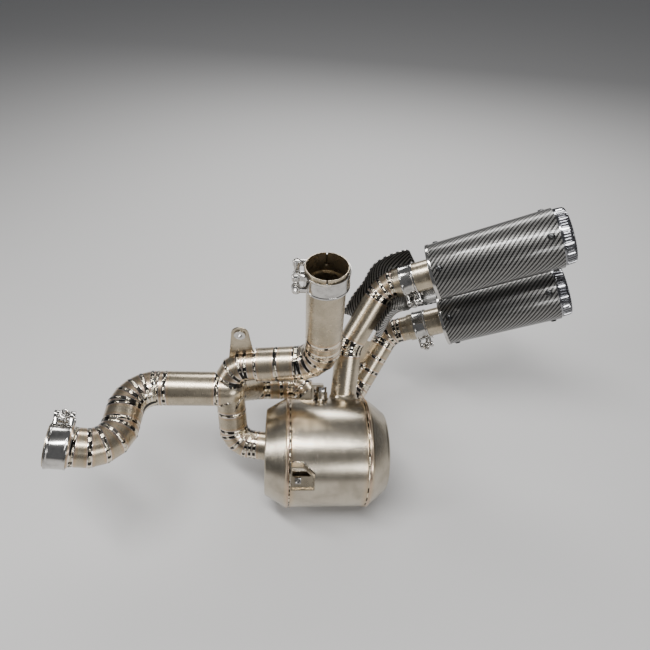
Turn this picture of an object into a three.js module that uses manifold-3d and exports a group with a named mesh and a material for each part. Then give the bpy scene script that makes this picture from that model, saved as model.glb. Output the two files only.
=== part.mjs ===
// A motorcycle racing exhaust: two titanium headers, a collector, a round expansion chamber
// and two carbon-sleeved silencers, held together by T-bolt clamps on slip joints.
// Units are millimetres. +X points to the rear of the machine, where the gas leaves, +Y to its
// far side and +Z up. The origin is on the far face of the hanger plate, below its bolt hole.
import * as THREE from "three";
import { mergeVertices } from "three/addons/utils/BufferGeometryUtils.js";
import Module from "manifold-3d";

const wasm = await Module();
wasm.setup();

// ---------------------------------------------------------------- driving dimensions

const GAP = 0.3; // air left between neighbouring pieces where the real ones are welded
const WALL = 1.2; // titanium tube
const SIDES = 16; // facets round a tube
const ROUND = 28; // facets round the chamber and the silencers

const HEADER_R = 28.5; // outer radii of the tubes
const SOCKET_R = 30.5;
const FEED_R = 24;
const MERGE_ELBOW_R = 25;
const LINK_R = 23;

const point = (x, y, z) => new THREE.Vector3(x, y, z);

// Front header: mouth, two corners of its S-bend, and where it meets the collector.
const FRONT_MOUTH = point(-265, -163, -37);
const FRONT_CORNER_1 = point(-183, -151, -70);
const FRONT_CORNER_2 = point(-183, -42, -61);
const FRONT_END = point(-48, -30, -79);
const FRONT_BEND = 46; // centre-line radius of both corners

// Rear header: it drops from its mouth, turns forward and then down into the collector.
const REAR_MOUTH = point(137, -16, 171);
const REAR_CORNER = point(130, -10, -33);
const REAR_CROSS_END = point(21, -8, -43);
const MERGE_CORNER = point(-22, -9, -47);
const REAR_BEND = 50;
const SOCKET_LENGTH = 36;

// Collector, and the two pipes that feed the chamber from it.
const MERGE = point(-27, -28, -82);
const FEED_CORNER = point(-25, -72, -176);
const FEED_BEND = 36;
const BACK_CORNER_1 = point(6, 36, -158);
const BACK_CORNER_2 = point(100, 41, -163);
const BACK_BEND = 34;

// Chamber: a barrel between two coned end caps.
const CHAMBER = point(134, -84, -187);
const CHAMBER_AXIS = point(0.995, 0.05, -0.08).normalize();
const BARREL_R = 92;
const BARREL_HALF = 66;
const SHELL = 1.5;
const LIP = 1.2; // height of the rolled seams
const FRONT_CAP = { length: 38, radius: 74 };
const REAR_CAP = { length: 36, radius: 69 };
const FEED_ENTRY = point(30, -80, -178);

// Links from the chamber to the silencers, and the silencers' common direction.
const SILENCER_AXIS = point(0.91, -0.07, 0.41).normalize();
const UPPER_FLANGE = point(314, 103, 63);
const LOWER_FLANGE = point(354, 116, -58);
const UPPER_BASE = point(166, -5, -136);
const UPPER_CORNER_1 = point(176, 52, -62);
const UPPER_RUN = 85; // last straight of each link, back from the silencer's flange
const LOWER_BASE = point(166, 0, -188);
const LOWER_CORNER_1 = point(192, 50, -190);
const LOWER_RUN = 106;
const LINK_BEND = 55;
const LINK_STOP = 20; // where the link's end stands inside the silencer's socket

// Silencer, measured along its axis from the flange.
const SLEEVE_R = 47.5;
const SLEEVE_WALL = 2;
const SLEEVE_END = 195;
const OUTLET_END = 213;
const OUTLET_R = 45; // the ribbed outlet cap is a little narrower than the sleeve
const STUB_R = 25.2;
const STUB_BORE = 23.7;
const STUB_LENGTH = 64;
const CORE_R = 21;
const CLAMP_CENTRE = 41; // middle of the clamp, back from the flange

// T-bolt clamp.
const BAND = 1.6;
const TRUNNION_R = 4.5;
const LOOP_R = 6;
const BOLT_R = 3;
const BOLT_LIFT = 8.5; // bolt axis above the band
const LOOP_OFFSET = 16; // loops on each side of the gap
const LEG_SLOT = 14; // space between the two legs of a loop

// Hanger plate, standing on the front header's end.
const HANGER_HOLE = point(0, 0, 25);
const HANGER_THICKNESS = 3;

// ---------------------------------------------------------------- materials

const metal = (color, roughness) => new THREE.MeshStandardMaterial({ color, roughness, metalness: 1 });
const TITANIUM = metal(0xb3a68f, 0.32);
const CHAMBER_TITANIUM = metal(0xa9a193, 0.35);
const POLISHED = metal(0xd8d6d2, 0.12);
const FASTENER = metal(0xc6c4c0, 0.2);
const DARK_CHROME = metal(0x5a5a5c, 0.15);
const CARBON = new THREE.MeshStandardMaterial({ color: 0x1c1c1e, roughness: 0.25, metalness: 0.1 });
const PACKING = new THREE.MeshStandardMaterial({ color: 0xd9cfae, roughness: 0.95, metalness: 0 });

// ---------------------------------------------------------------- geometry helpers

// The closed mesh of a geometry as a solid that can be joined and cut.
function solid(geometry, matrix = new THREE.Matrix4()) {
  const bare = geometry.clone().applyMatrix4(matrix);
  bare.deleteAttribute("normal");
  bare.deleteAttribute("uv");
  const merged = mergeVertices(bare, 1e-4);
  return new wasm.Manifold(
    new wasm.Mesh({
      numProp: 3,
      vertProperties: merged.attributes.position.array,
      triVerts: new Uint32Array(merged.index.array),
    }),
  );
}

// A solid back as a geometry with flat faces.
function geometryOf(manifold) {
  const mesh = manifold.getMesh();
  const geometry = new THREE.BufferGeometry();
  geometry.setAttribute("position", new THREE.BufferAttribute(new Float32Array(mesh.vertProperties), 3));
  geometry.setIndex(new THREE.BufferAttribute(new Uint32Array(mesh.triVerts), 1));
  const flat = geometry.toNonIndexed();
  flat.computeVertexNormals();
  return flat;
}

// The largest body of a cut solid, without the slivers that a cut can leave beside it.
function largest(manifold) {
  return manifold.decompose().sort((a, b) => b.volume() - a.volume())[0];
}

// A frame at origin with +Z along axis and +X as near to side as a right angle allows.
function frameAt(origin, axis, side) {
  const z = axis.clone().normalize();
  const x = side.clone().addScaledVector(z, -side.dot(z)).normalize();
  const y = z.clone().cross(x);
  return new THREE.Matrix4().makeBasis(x, y, z).setPosition(origin);
}

const shifted = (x, y, z) => new THREE.Matrix4().makeTranslation(x, y, z);

function circlePoints(radius, sides) {
  return Array.from({ length: sides }, (_, i) => {
    const angle = (2 * Math.PI * i) / sides;
    return new THREE.Vector2(radius * Math.cos(angle), radius * Math.sin(angle));
  });
}

// A solid of revolution about +Z from a profile of [radius, height] pairs. The profile runs
// anticlockwise in the radius-height plane.
function turned(profile, sides = SIDES) {
  const points = profile.map(([radius, height]) => new THREE.Vector2(radius, height));
  return new THREE.LatheGeometry(points, sides).rotateX(Math.PI / 2);
}

function turnedRing(outer, inner, low, high, sides = SIDES) {
  return turned([[inner, low], [outer, low], [outer, high], [inner, high], [inner, low]], sides);
}

function rod(radius, low, high, sides = 16) {
  return new THREE.CylinderGeometry(radius, radius, high - low, sides)
    .rotateX(Math.PI / 2)
    .translate(0, 0, (low + high) / 2);
}

function block(low, high) {
  const size = high.clone().sub(low);
  const middle = low.clone().addScaledVector(size, 0.5);
  return new THREE.BoxGeometry(size.x, size.y, size.z).translate(middle.x, middle.y, middle.z);
}

// A centre line with one sweep step at each of its points, where the tube is mitred.
class MitredLine extends THREE.Curve {
  constructor(points) {
    super();
    this.points = points;
  }

  getPoint(t) {
    return this.points[Math.round(t * (this.points.length - 1))].clone();
  }

  getPointAt(u) {
    return this.getPoint(u);
  }

  getTangentAt(u) {
    const i = Math.round(u * (this.points.length - 1));
    const ahead = this.points[Math.min(i + 1, this.points.length - 1)];
    const here = this.points[i];
    const behind = this.points[Math.max(i - 1, 0)];
    const out = ahead.clone().sub(here).normalize();
    const back = here.clone().sub(behind).normalize();
    return out.add(back).normalize();
  }
}

// A corner of a pipe as pie cuts: the point where the bend starts, its cuts, and where it ends.
function pieCuts(before, corner, after, radius, cuts) {
  const arriving = corner.clone().sub(before).normalize();
  const leaving = after.clone().sub(corner).normalize();
  const turn = arriving.angleTo(leaving);
  const reach = radius * Math.tan(turn / 2);
  const start = corner.clone().addScaledVector(arriving, -reach);
  const inward = leaving.clone().addScaledVector(arriving, -leaving.dot(arriving)).normalize();
  const centre = start.clone().addScaledVector(inward, radius);
  const outerRadius = radius / Math.cos(turn / (2 * cuts));
  const line = [start];
  for (let i = 0; i < cuts; i += 1) {
    const angle = (turn * (i + 0.5)) / cuts;
    line.push(
      centre
        .clone()
        .addScaledVector(inward, -outerRadius * Math.cos(angle))
        .addScaledVector(arriving, outerRadius * Math.sin(angle)),
    );
  }
  line.push(corner.clone().addScaledVector(leaving, reach));
  return line;
}

// A line shortened at both ends by half of the gap to its neighbours.
function trimmed(line, start = GAP / 2, end = GAP / 2) {
  const points = line.map((p) => p.clone());
  const last = points.length - 1;
  points[0].addScaledVector(line[1].clone().sub(line[0]).normalize(), start);
  points[last].addScaledVector(line[last - 1].clone().sub(line[last]).normalize(), end);
  return points;
}

function tubeAlong(line, outer, inner, sides = SIDES) {
  const section = new THREE.Shape(circlePoints(outer, sides));
  if (inner > 0) section.holes.push(new THREE.Path(circlePoints(inner, sides)));
  return new THREE.ExtrudeGeometry(section, {
    steps: line.length - 1,
    extrudePath: new MitredLine(line),
  });
}

// A curved sheet of even thickness. place(u, v) gives a point of its inner face and the
// outward direction there, for u and v from 0 to 1.
function sheet(place, uSteps, vSteps, thickness) {
  const inner = [];
  const outer = [];
  for (let i = 0; i <= uSteps; i += 1) {
    for (let j = 0; j <= vSteps; j += 1) {
      const { position, outward } = place(i / uSteps, j / vSteps);
      inner.push(position);
      outer.push(position.clone().addScaledVector(outward, thickness));
    }
  }
  const count = inner.length;
  const at = (i, j) => i * (vSteps + 1) + j;
  const index = [];
  const quad = (a, b, c, d) => index.push(a, b, c, a, c, d);
  for (let i = 0; i < uSteps; i += 1) {
    for (let j = 0; j < vSteps; j += 1) {
      quad(at(i, j), at(i, j + 1), at(i + 1, j + 1), at(i + 1, j));
      quad(count + at(i, j), count + at(i + 1, j), count + at(i + 1, j + 1), count + at(i, j + 1));
    }
    quad(at(i, 0), at(i + 1, 0), count + at(i + 1, 0), count + at(i, 0));
    quad(at(i, vSteps), count + at(i, vSteps), count + at(i + 1, vSteps), at(i + 1, vSteps));
  }
  for (let j = 0; j < vSteps; j += 1) {
    quad(at(0, j), count + at(0, j), count + at(0, j + 1), at(0, j + 1));
    quad(at(uSteps, j), at(uSteps, j + 1), count + at(uSteps, j + 1), count + at(uSteps, j));
  }
  const geometry = new THREE.BufferGeometry().setFromPoints([...inner, ...outer]);
  geometry.setIndex(index);
  return geometry;
}

// ---------------------------------------------------------------- the assembly

const exhaust = new THREE.Group();

function add(name, geometry, material, parent = exhaust) {
  const mesh = new THREE.Mesh(geometry, material.clone());
  mesh.name = name;
  parent.add(mesh);
  return mesh;
}

function groupAt(matrix, parent = exhaust) {
  const group = new THREE.Group();
  group.applyMatrix4(matrix);
  parent.add(group);
  return group;
}

function pipe(name, line, outer, material = TITANIUM) {
  return add(name, tubeAlong(trimmed(line), outer, outer - WALL), material);
}

const chamberFrame = frameAt(CHAMBER, CHAMBER_AXIS, point(0, 0, 1));

// The barrel's outside with its seam lips as a solid, to cut what stands on it.
const barrelCutter = [-BARREL_HALF, BARREL_HALF].reduce(
  (body, seam) => body.add(solid(rod(BARREL_R + LIP + GAP, seam - 4.5, seam + 4.5, ROUND), chamberFrame)),
  solid(rod(BARREL_R + GAP, -BARREL_HALF - 80, BARREL_HALF + 80, ROUND), chamberFrame),
);

// A clamp socket: a belled tube end with two long slits, each ending in a round hole.
function clampSocket(name, mouth, inward) {
  const frame = frameAt(mouth, inward, point(0, -1, 0));
  let body = solid(turnedRing(SOCKET_R, SOCKET_R - 1.5, 0, SOCKET_LENGTH - GAP));
  for (const side of [-1, 1]) {
    const slit = block(point(side > 0 ? 20 : -40, -1, -2), point(side > 0 ? 40 : -20, 1, 22));
    const hole = new THREE.CylinderGeometry(2.6, 2.6, 20, 8)
      .rotateZ(Math.PI / 2)
      .translate(side * 30, 0, 22);
    body = body.subtract(solid(slit)).subtract(solid(hole));
  }
  return add(name, geometryOf(body), TITANIUM, groupAt(frame));
}

// A T-bolt clamp round a socket of the given radius, in its own frame: +Z along the socket,
// +X towards the bolt, which lies along +Y with its nut at the far end.
function tBoltClamp(prefix, radius, width, matrix, parent) {
  const group = groupAt(matrix, parent);
  const inner = radius + 0.8;
  const outer = inner + BAND;
  const boltX = outer + BOLT_LIFT;
  const half = width / 2;
  const upright = shifted(boltX, 0, 0);

  let band = solid(turnedRing(outer, inner, -half, half));
  band = band.subtract(solid(block(point(0, -7, -half - 1), point(outer + 5, 7, half + 1))));
  for (const side of [-1, 1]) {
    const y = side * LOOP_OFFSET;
    const web = block(point(inner * 0.6, y - 3, -half), point(boltX, y + 3, half));
    band = band.add(solid(web));
    band = band.add(solid(rod(LOOP_R, -half, half, 8), shifted(boltX, y, 0)));
  }
  const bore = [[0, -half - 1], [inner, -half - 1], [inner, half + 1], [0, half + 1]];
  band = band.subtract(solid(turned(bore)));
  for (const side of [-1, 1]) {
    const eye = rod(TRUNNION_R + GAP, -half - 1, half + 1, 8);
    band = band.subtract(solid(eye, shifted(boltX, side * LOOP_OFFSET, 0)));
  }
  const legSlot = block(point(outer + 1, -40, -LEG_SLOT / 2), point(boltX + 20, 40, LEG_SLOT / 2));
  band = band.subtract(solid(legSlot));
  add(`${prefix}_band`, geometryOf(band), POLISHED, group);

  const across = new THREE.CylinderGeometry(BOLT_R, BOLT_R, LOOP_OFFSET * 2 + 17, 8).translate(0, 8.5, 0);
  const head = solid(rod(TRUNNION_R - 0.2, 1 - half, half - 1, 8), shifted(0, -LOOP_OFFSET, 0));
  add(`${prefix}_t_bolt`, geometryOf(head.add(solid(across)).transform(upright.toArray())), FASTENER, group);

  const boltHole = solid(new THREE.CylinderGeometry(BOLT_R + 2 * GAP, BOLT_R + 2 * GAP, 20, 8));
  const trunnion = solid(rod(TRUNNION_R - 0.2, 1 - half, half - 1, 8)).subtract(boltHole);
  add(`${prefix}_trunnion`, geometryOf(trunnion), FASTENER, group).position.set(boltX, LOOP_OFFSET, 0);

  const hexagon = new THREE.CylinderGeometry(5.8, 5.8, 8, 6).translate(0, 4, 0);
  const flange = new THREE.CylinderGeometry(6.5, 6.5, 1.6, 12).translate(0, 0.8, 0);
  const nut = solid(hexagon).add(solid(flange)).subtract(boltHole);
  const seat = LOOP_OFFSET + TRUNNION_R + GAP;
  add(`${prefix}_nut`, geometryOf(nut), FASTENER, group).position.set(boltX, seat, 0);
  return group;
}

// A tube end cut to the curve of the barrel, and the bore that it needs in the barrel's wall.
function saddled(line, outer) {
  return largest(solid(tubeAlong(line, outer, outer - WALL)).subtract(barrelCutter));
}

const barrelBores = [];

function boreThroughBarrel(line, outer) {
  barrelBores.push(solid(tubeAlong([line[0], line[1]], outer - WALL, 0)));
}

// ---- front header

const frontInward = FRONT_CORNER_1.clone().sub(FRONT_MOUTH).normalize();
const frontSocketEnd = FRONT_MOUTH.clone().addScaledVector(frontInward, SOCKET_LENGTH);
const frontLower = pieCuts(FRONT_MOUTH, FRONT_CORNER_1, FRONT_CORNER_2, FRONT_BEND, 4);
const frontUpper = pieCuts(FRONT_CORNER_1, FRONT_CORNER_2, FRONT_END, FRONT_BEND, 5);
clampSocket("front_socket", FRONT_MOUTH, frontInward);
pipe("front_bend_lower", [frontSocketEnd, ...frontLower.slice(1)], HEADER_R);
pipe("front_bend_upper", [frontLower.at(-1), ...frontUpper], HEADER_R);
pipe("front_straight", [frontUpper.at(-1), FRONT_END], HEADER_R);

// ---- rear header

const rearInward = REAR_CORNER.clone().sub(REAR_MOUTH).normalize();
const rearSocketEnd = REAR_MOUTH.clone().addScaledVector(rearInward, SOCKET_LENGTH);
const rearElbow = pieCuts(REAR_MOUTH, REAR_CORNER, REAR_CROSS_END, REAR_BEND, 4);
const mergeElbow = pieCuts(REAR_CROSS_END, MERGE_CORNER, MERGE, 33, 3);
clampSocket("rear_socket", REAR_MOUTH, rearInward);
pipe("rear_down_tube", [rearSocketEnd, rearElbow[0]], HEADER_R);
pipe("rear_elbow", rearElbow, HEADER_R);
pipe("rear_cross_tube", [rearElbow.at(-1), REAR_CROSS_END], HEADER_R);

// ---- collector, where both headers meet and two pipes leave

const feedElbow = pieCuts(MERGE, FEED_CORNER, FEED_ENTRY, FEED_BEND, 3);
const backFirst = pieCuts(MERGE, BACK_CORNER_1, BACK_CORNER_2, BACK_BEND, 2);
const backEntry = BACK_CORNER_2.clone().add(point(4, -60, -11));
const backSecond = pieCuts(BACK_CORNER_1, BACK_CORNER_2, backEntry, BACK_BEND, 3);
const DOWN_STUB = 40;
const HUB_R = 22;
const downStubEnd = MERGE.clone().lerp(FEED_CORNER, DOWN_STUB / MERGE.distanceTo(FEED_CORNER));

// The collector's own limbs, grown or shrunk by a change of radius and longer by extra.
function limbs(change, extra) {
  const ends = [
    [FRONT_END, HEADER_R],
    [downStubEnd, FEED_R],
    [backFirst[0], FEED_R],
  ];
  let body = solid(new THREE.SphereGeometry(HUB_R + change, SIDES, 8), shifted(...MERGE.toArray()));
  for (const [end, radius] of ends) {
    body = body.add(solid(tubeAlong(trimmed([MERGE, end], 0, -extra), radius + change, 0)));
  }
  return body;
}

const frontStraight = solid(tubeAlong([FRONT_CORNER_2, FRONT_END], HEADER_R + GAP, 0));
const elbowLine = [REAR_CROSS_END, ...mergeElbow, MERGE];
const mergeElbowTube = solid(tubeAlong(trimmed(elbowLine, GAP / 2, 0), MERGE_ELBOW_R, MERGE_ELBOW_R - WALL));
const elbowBore = solid(tubeAlong(elbowLine, MERGE_ELBOW_R - WALL, 0));
const collector = limbs(0, -GAP).subtract(limbs(-WALL, 5)).subtract(elbowBore);
add("collector", geometryOf(largest(collector)), TITANIUM);
const mergeElbowSolid = mergeElbowTube.subtract(limbs(GAP, 0)).subtract(frontStraight);
add("merge_elbow", geometryOf(largest(mergeElbowSolid)), TITANIUM);
const feedInside = FEED_ENTRY.clone().add(point(12, -2, 0));
const feedLine = [...trimmed([downStubEnd, ...feedElbow], GAP / 2, 0), feedInside];
const capFace = -BARREL_HALF - FRONT_CAP.length - GAP;
const capCutter = solid(rod(BARREL_R, capFace, 0), chamberFrame);
const feedPipe = solid(tubeAlong(feedLine, FEED_R, FEED_R - WALL)).subtract(capCutter);
add("feed_pipe", geometryOf(largest(feedPipe)), TITANIUM);
const backLine = [...trimmed([...backFirst, ...backSecond], GAP / 2, 0), backEntry];
add("back_feed_pipe", geometryOf(saddled(backLine, FEED_R)), TITANIUM);
boreThroughBarrel([backSecond.at(-1), backEntry.clone().add(point(0, -40, -7))], FEED_R);

// ---- links to the silencers

const upperCorner2 = UPPER_FLANGE.clone().addScaledVector(SILENCER_AXIS, -UPPER_RUN);
const lowerCorner2 = LOWER_FLANGE.clone().addScaledVector(SILENCER_AXIS, -LOWER_RUN);
const upperEnd = UPPER_FLANGE.clone().addScaledVector(SILENCER_AXIS, -LINK_STOP);
const lowerEnd = LOWER_FLANGE.clone().addScaledVector(SILENCER_AXIS, -LINK_STOP);
const upperInside = UPPER_BASE.clone().lerp(UPPER_CORNER_1, -0.3);
const lowerInside = LOWER_BASE.clone().lerp(LOWER_CORNER_1, -0.3);
const upperLine = [
  upperInside,
  ...pieCuts(UPPER_BASE, UPPER_CORNER_1, upperCorner2, LINK_BEND, 3),
  ...pieCuts(UPPER_CORNER_1, upperCorner2, UPPER_FLANGE, LINK_BEND, 3),
  upperEnd,
];
const lowerLine = [
  lowerInside,
  ...pieCuts(LOWER_BASE, LOWER_CORNER_1, lowerCorner2, LINK_BEND, 3),
  ...pieCuts(LOWER_CORNER_1, lowerCorner2, LOWER_FLANGE, LINK_BEND, 3),
  lowerEnd,
];
add("upper_link", geometryOf(saddled(upperLine, LINK_R)), TITANIUM);
add("lower_link", geometryOf(saddled(lowerLine, LINK_R)), TITANIUM);
boreThroughBarrel([upperInside, UPPER_CORNER_1], LINK_R);
boreThroughBarrel([lowerInside, LOWER_CORNER_1], LINK_R);

// A flat web welded between the two links, cut to the curve of both.
function linkWeb() {
  const onUpper = UPPER_CORNER_1.clone().lerp(upperCorner2, 0.12);
  const onLower = LOWER_CORNER_1.clone().lerp(lowerCorner2, 0.5);
  const along = upperCorner2.clone().sub(UPPER_CORNER_1);
  const across = onLower.clone().sub(onUpper);
  const middle = onUpper.clone().lerp(onLower, 0.5);
  const plate = block(point(-across.length() / 2, -1.25, -22), point(across.length() / 2, 1.25, 22));
  const web = solid(plate, frameAt(middle, along, across));
  const upperTube = solid(tubeAlong(upperLine, LINK_R + GAP, 0));
  const lowerTube = solid(tubeAlong(lowerLine, LINK_R + GAP, 0));
  return geometryOf(web.subtract(upperTube).subtract(lowerTube));
}

add("link_web", linkWeb(), TITANIUM);

// ---- chamber

const chamber = groupAt(chamberFrame);
const intoChamber = chamberFrame.clone().invert();

function barrel() {
  const low = -BARREL_HALF + GAP / 2;
  const high = -low;
  const profile = [
    [BARREL_R - SHELL, low],
    [BARREL_R + LIP, low],
    [BARREL_R + LIP, low + 3],
    [BARREL_R, low + 4],
    [BARREL_R, high - 4],
    [BARREL_R + LIP, high - 3],
    [BARREL_R + LIP, high],
    [BARREL_R - SHELL, high],
    [BARREL_R - SHELL, low],
  ];
  let body = solid(turned(profile, ROUND));
  for (const bore of barrelBores) body = body.subtract(bore.transform(intoChamber.toArray()));
  return geometryOf(body);
}

// A coned cap in its own frame: it starts at z = 0 at the seam and closes at z = length.
function endCap({ length, radius }) {
  const profile = [
    [0, length - SHELL],
    [radius - SHELL - 2, length - SHELL],
    [BARREL_R - SHELL, 0],
    [BARREL_R + LIP, 0],
    [BARREL_R + LIP, 3],
    [BARREL_R - 1, 5],
    [radius, length - 3],
    [radius - 3, length],
    [0, length],
  ];
  return turned(profile, ROUND);
}

const frontCapPlace = new THREE.Matrix4().makeRotationX(Math.PI).setPosition(0, 0, -BARREL_HALF - GAP / 2);
const entryLine = [FEED_ENTRY.clone().add(point(-9, 0, 0)), FEED_ENTRY.clone().add(point(30, -3, 0))];
const entryBore = solid(tubeAlong(entryLine, FEED_R - WALL, 0)).transform(intoChamber.toArray());
const frontCapSolid = solid(endCap(FRONT_CAP), frontCapPlace).subtract(entryBore);
add("chamber_barrel", barrel(), CHAMBER_TITANIUM, chamber);
add("chamber_front_cap", geometryOf(frontCapSolid), CHAMBER_TITANIUM, chamber);
add("chamber_rear_cap", endCap(REAR_CAP), CHAMBER_TITANIUM, chamber).position.z = BARREL_HALF + GAP / 2;

// A pressed baffle with a ring of holes, and the perforated tube that it carries.
function baffle() {
  const disc = new THREE.Shape(circlePoints(BARREL_R - SHELL - 1, ROUND));
  disc.holes.push(new THREE.Path(circlePoints(FEED_R + 1, SIDES)));
  for (let i = 0; i < 8; i += 1) {
    const angle = (2 * Math.PI * (i + 0.5)) / 8;
    const middle = new THREE.Vector2(58 * Math.cos(angle), 58 * Math.sin(angle));
    disc.holes.push(new THREE.Path(circlePoints(9, 8).map((p) => p.add(middle))));
  }
  return new THREE.ExtrudeGeometry(disc, { depth: 1.5, bevelEnabled: false });
}

// Rows of holes through the wall of a tube along +Z.
function perforate(tube, radius, rows, first, pitch) {
  let body = tube;
  for (let row = 0; row < rows; row += 1) {
    for (let i = 0; i < 3; i += 1) {
      const drill = new THREE.CylinderGeometry(3, 3, 2 * radius + 10, 6)
        .rotateZ((Math.PI * (i + (row % 2) / 2)) / 3)
        .translate(0, 0, first + row * pitch);
      body = body.subtract(solid(drill));
    }
  }
  return body;
}

add("chamber_baffle", baffle(), CHAMBER_TITANIUM, chamber).position.z = -10;
const innerTube = solid(turnedRing(FEED_R, FEED_R - 1.5, -70, 30, 18));
add("chamber_inner_tube", geometryOf(perforate(innerTube, FEED_R, 2, 0, 18)), CHAMBER_TITANIUM, chamber);

// ---- fittings on the chamber

// A frame on the barrel's outside: +Z outward, +X along the barrel.
function onBarrel(along, angle) {
  const outward = point(Math.cos(angle), Math.sin(angle), 0);
  const place = outward.clone().multiplyScalar(BARREL_R + GAP).add(point(0, 0, along));
  return new THREE.Matrix4().multiplyMatrices(chamberFrame, frameAt(place, outward, point(0, 0, 1)));
}

// What has to be cut from a fitting in a frame of onBarrel, so that it stands on the barrel.
function barrelUnder(along, angle) {
  return barrelCutter.transform(onBarrel(along, angle).invert().toArray());
}

const POCKET_ALONG = -43;
const POCKET_ANGLE = THREE.MathUtils.degToRad(55);
const pocket = groupAt(onBarrel(POCKET_ALONG, POCKET_ANGLE));

// A wall round a five-sided outline, with a plate across its lower part. Above the plate it is
// open, so that a bolt can be reached behind it.
function pocketBracket() {
  const outline = (inset) =>
    new THREE.Shape([
      new THREE.Vector2(inset - 19, inset - 17),
      new THREE.Vector2(18 - inset, inset - 17),
      new THREE.Vector2(18 - inset, 4 - inset / 2),
      new THREE.Vector2(0, 22 - inset * 1.3),
      new THREE.Vector2(inset - 19, 22 - inset),
    ]);
  const wall = new THREE.ExtrudeGeometry(outline(0), { depth: 23, bevelEnabled: false }).translate(0, 0, -9);
  const hollow = new THREE.ExtrudeGeometry(outline(2), { depth: 40, bevelEnabled: false });
  const boltHole = solid(rod(3.4, 0, 20, 12), shifted(-8, 0, 0));
  const plate = solid(block(point(-18, -16, 9), point(17, 5, 11.5))).subtract(boltHole);
  const walls = solid(wall).subtract(solid(hollow, shifted(0, 0, -20)));
  return geometryOf(walls.add(plate).subtract(barrelUnder(POCKET_ALONG, POCKET_ANGLE)));
}

add("pocket_bracket", pocketBracket(), TITANIUM, pocket);
const captiveNut = solid(block(point(-4.5, -5, 0), point(4.5, 5, 5))).subtract(solid(rod(3, -1, 6, 10)));
add("captive_nut", geometryOf(captiveNut), FASTENER, pocket).position.set(-8, 0, 11.5 + GAP);
add("pocket_stud", rod(2.5, 4, 21, 10), FASTENER, pocket).position.set(-8, 0, 0);

const BRACKET_ALONG = -40;
const SENSOR_ALONG = -9;
const BRACKET_ANGLE = THREE.MathUtils.degToRad(-44);
const bracket = groupAt(onBarrel(BRACKET_ALONG, BRACKET_ANGLE));

// An angle bracket with a triangular gusset.
function mountBracket() {
  const upright = solid(block(point(14, -14, -6), point(17, 14, 26)));
  const flange = solid(block(point(14, -14, 23), point(34, 14, 26)));
  const outline = new THREE.Shape([
    new THREE.Vector2(-14, -6),
    new THREE.Vector2(15, -6),
    new THREE.Vector2(15, 22),
  ]);
  const gusset = new THREE.ExtrudeGeometry(outline, { depth: 2.5, bevelEnabled: false })
    .rotateX(Math.PI / 2)
    .translate(0, -6, 0);
  const whole = upright.add(flange).add(solid(gusset));
  return geometryOf(whole.subtract(barrelUnder(BRACKET_ALONG, BRACKET_ANGLE)));
}

add("mount_bracket", mountBracket(), TITANIUM, bracket);

// A threaded boss for an exhaust gas sensor, closed with a hexagon plug.
const sensor = groupAt(onBarrel(SENSOR_ALONG, BRACKET_ANGLE));
const boss = solid(turnedRing(11, 6.4, 0, 12, 18)).subtract(barrelUnder(SENSOR_ALONG, BRACKET_ANGLE));
add("sensor_boss", geometryOf(boss), TITANIUM, sensor);
const plugHex = solid(new THREE.CylinderGeometry(9.5, 9.5, 9, 6).rotateX(Math.PI / 2), shifted(0, 0, 16.8));
add("sensor_plug", geometryOf(plugHex.add(solid(rod(6, 2, 13, 16)))), FASTENER, sensor);

// ---- hanger plate and its bush

function hangerPlate() {
  const outline = new THREE.Shape();
  outline.moveTo(-30, -58);
  outline.lineTo(20, -58);
  outline.lineTo(14, HANGER_HOLE.z);
  outline.absarc(0, HANGER_HOLE.z, 14, 0, Math.PI, false);
  outline.lineTo(-30, -58);
  const holeCentre = new THREE.Vector2(0, HANGER_HOLE.z);
  outline.holes.push(new THREE.Path(circlePoints(7, 16).map((p) => p.add(holeCentre))));
  const options = { depth: HANGER_THICKNESS, bevelEnabled: false, curveSegments: 8 };
  const plate = new THREE.ExtrudeGeometry(outline, options).rotateX(Math.PI / 2);
  const hub = solid(tubeAlong([FRONT_END.clone().lerp(MERGE, -0.5), MERGE], HEADER_R + GAP, 0));
  const elbow = solid(tubeAlong(elbowLine, MERGE_ELBOW_R + GAP, 0));
  const sphere = solid(new THREE.SphereGeometry(HEADER_R, SIDES, 12), shifted(...MERGE.toArray()));
  const cut = solid(plate).subtract(frontStraight).subtract(hub).subtract(elbow).subtract(sphere);
  return geometryOf(largest(cut));
}

add("hanger_plate", hangerPlate(), TITANIUM);
const bushHead = -HANGER_THICKNESS - GAP;
const bushProfile = [
  [4, -6.3],
  [9, -6.3],
  [9, bushHead],
  [6.7, bushHead],
  [6.7, -GAP],
  [4, -GAP],
  [4, -6.3],
];
const bush = add("hanger_bush", turned(bushProfile, 16), FASTENER);
bush.applyMatrix4(frameAt(HANGER_HOLE, point(0, 1, 0), point(1, 0, 0)));

// ---- silencers and their clamps

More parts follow.
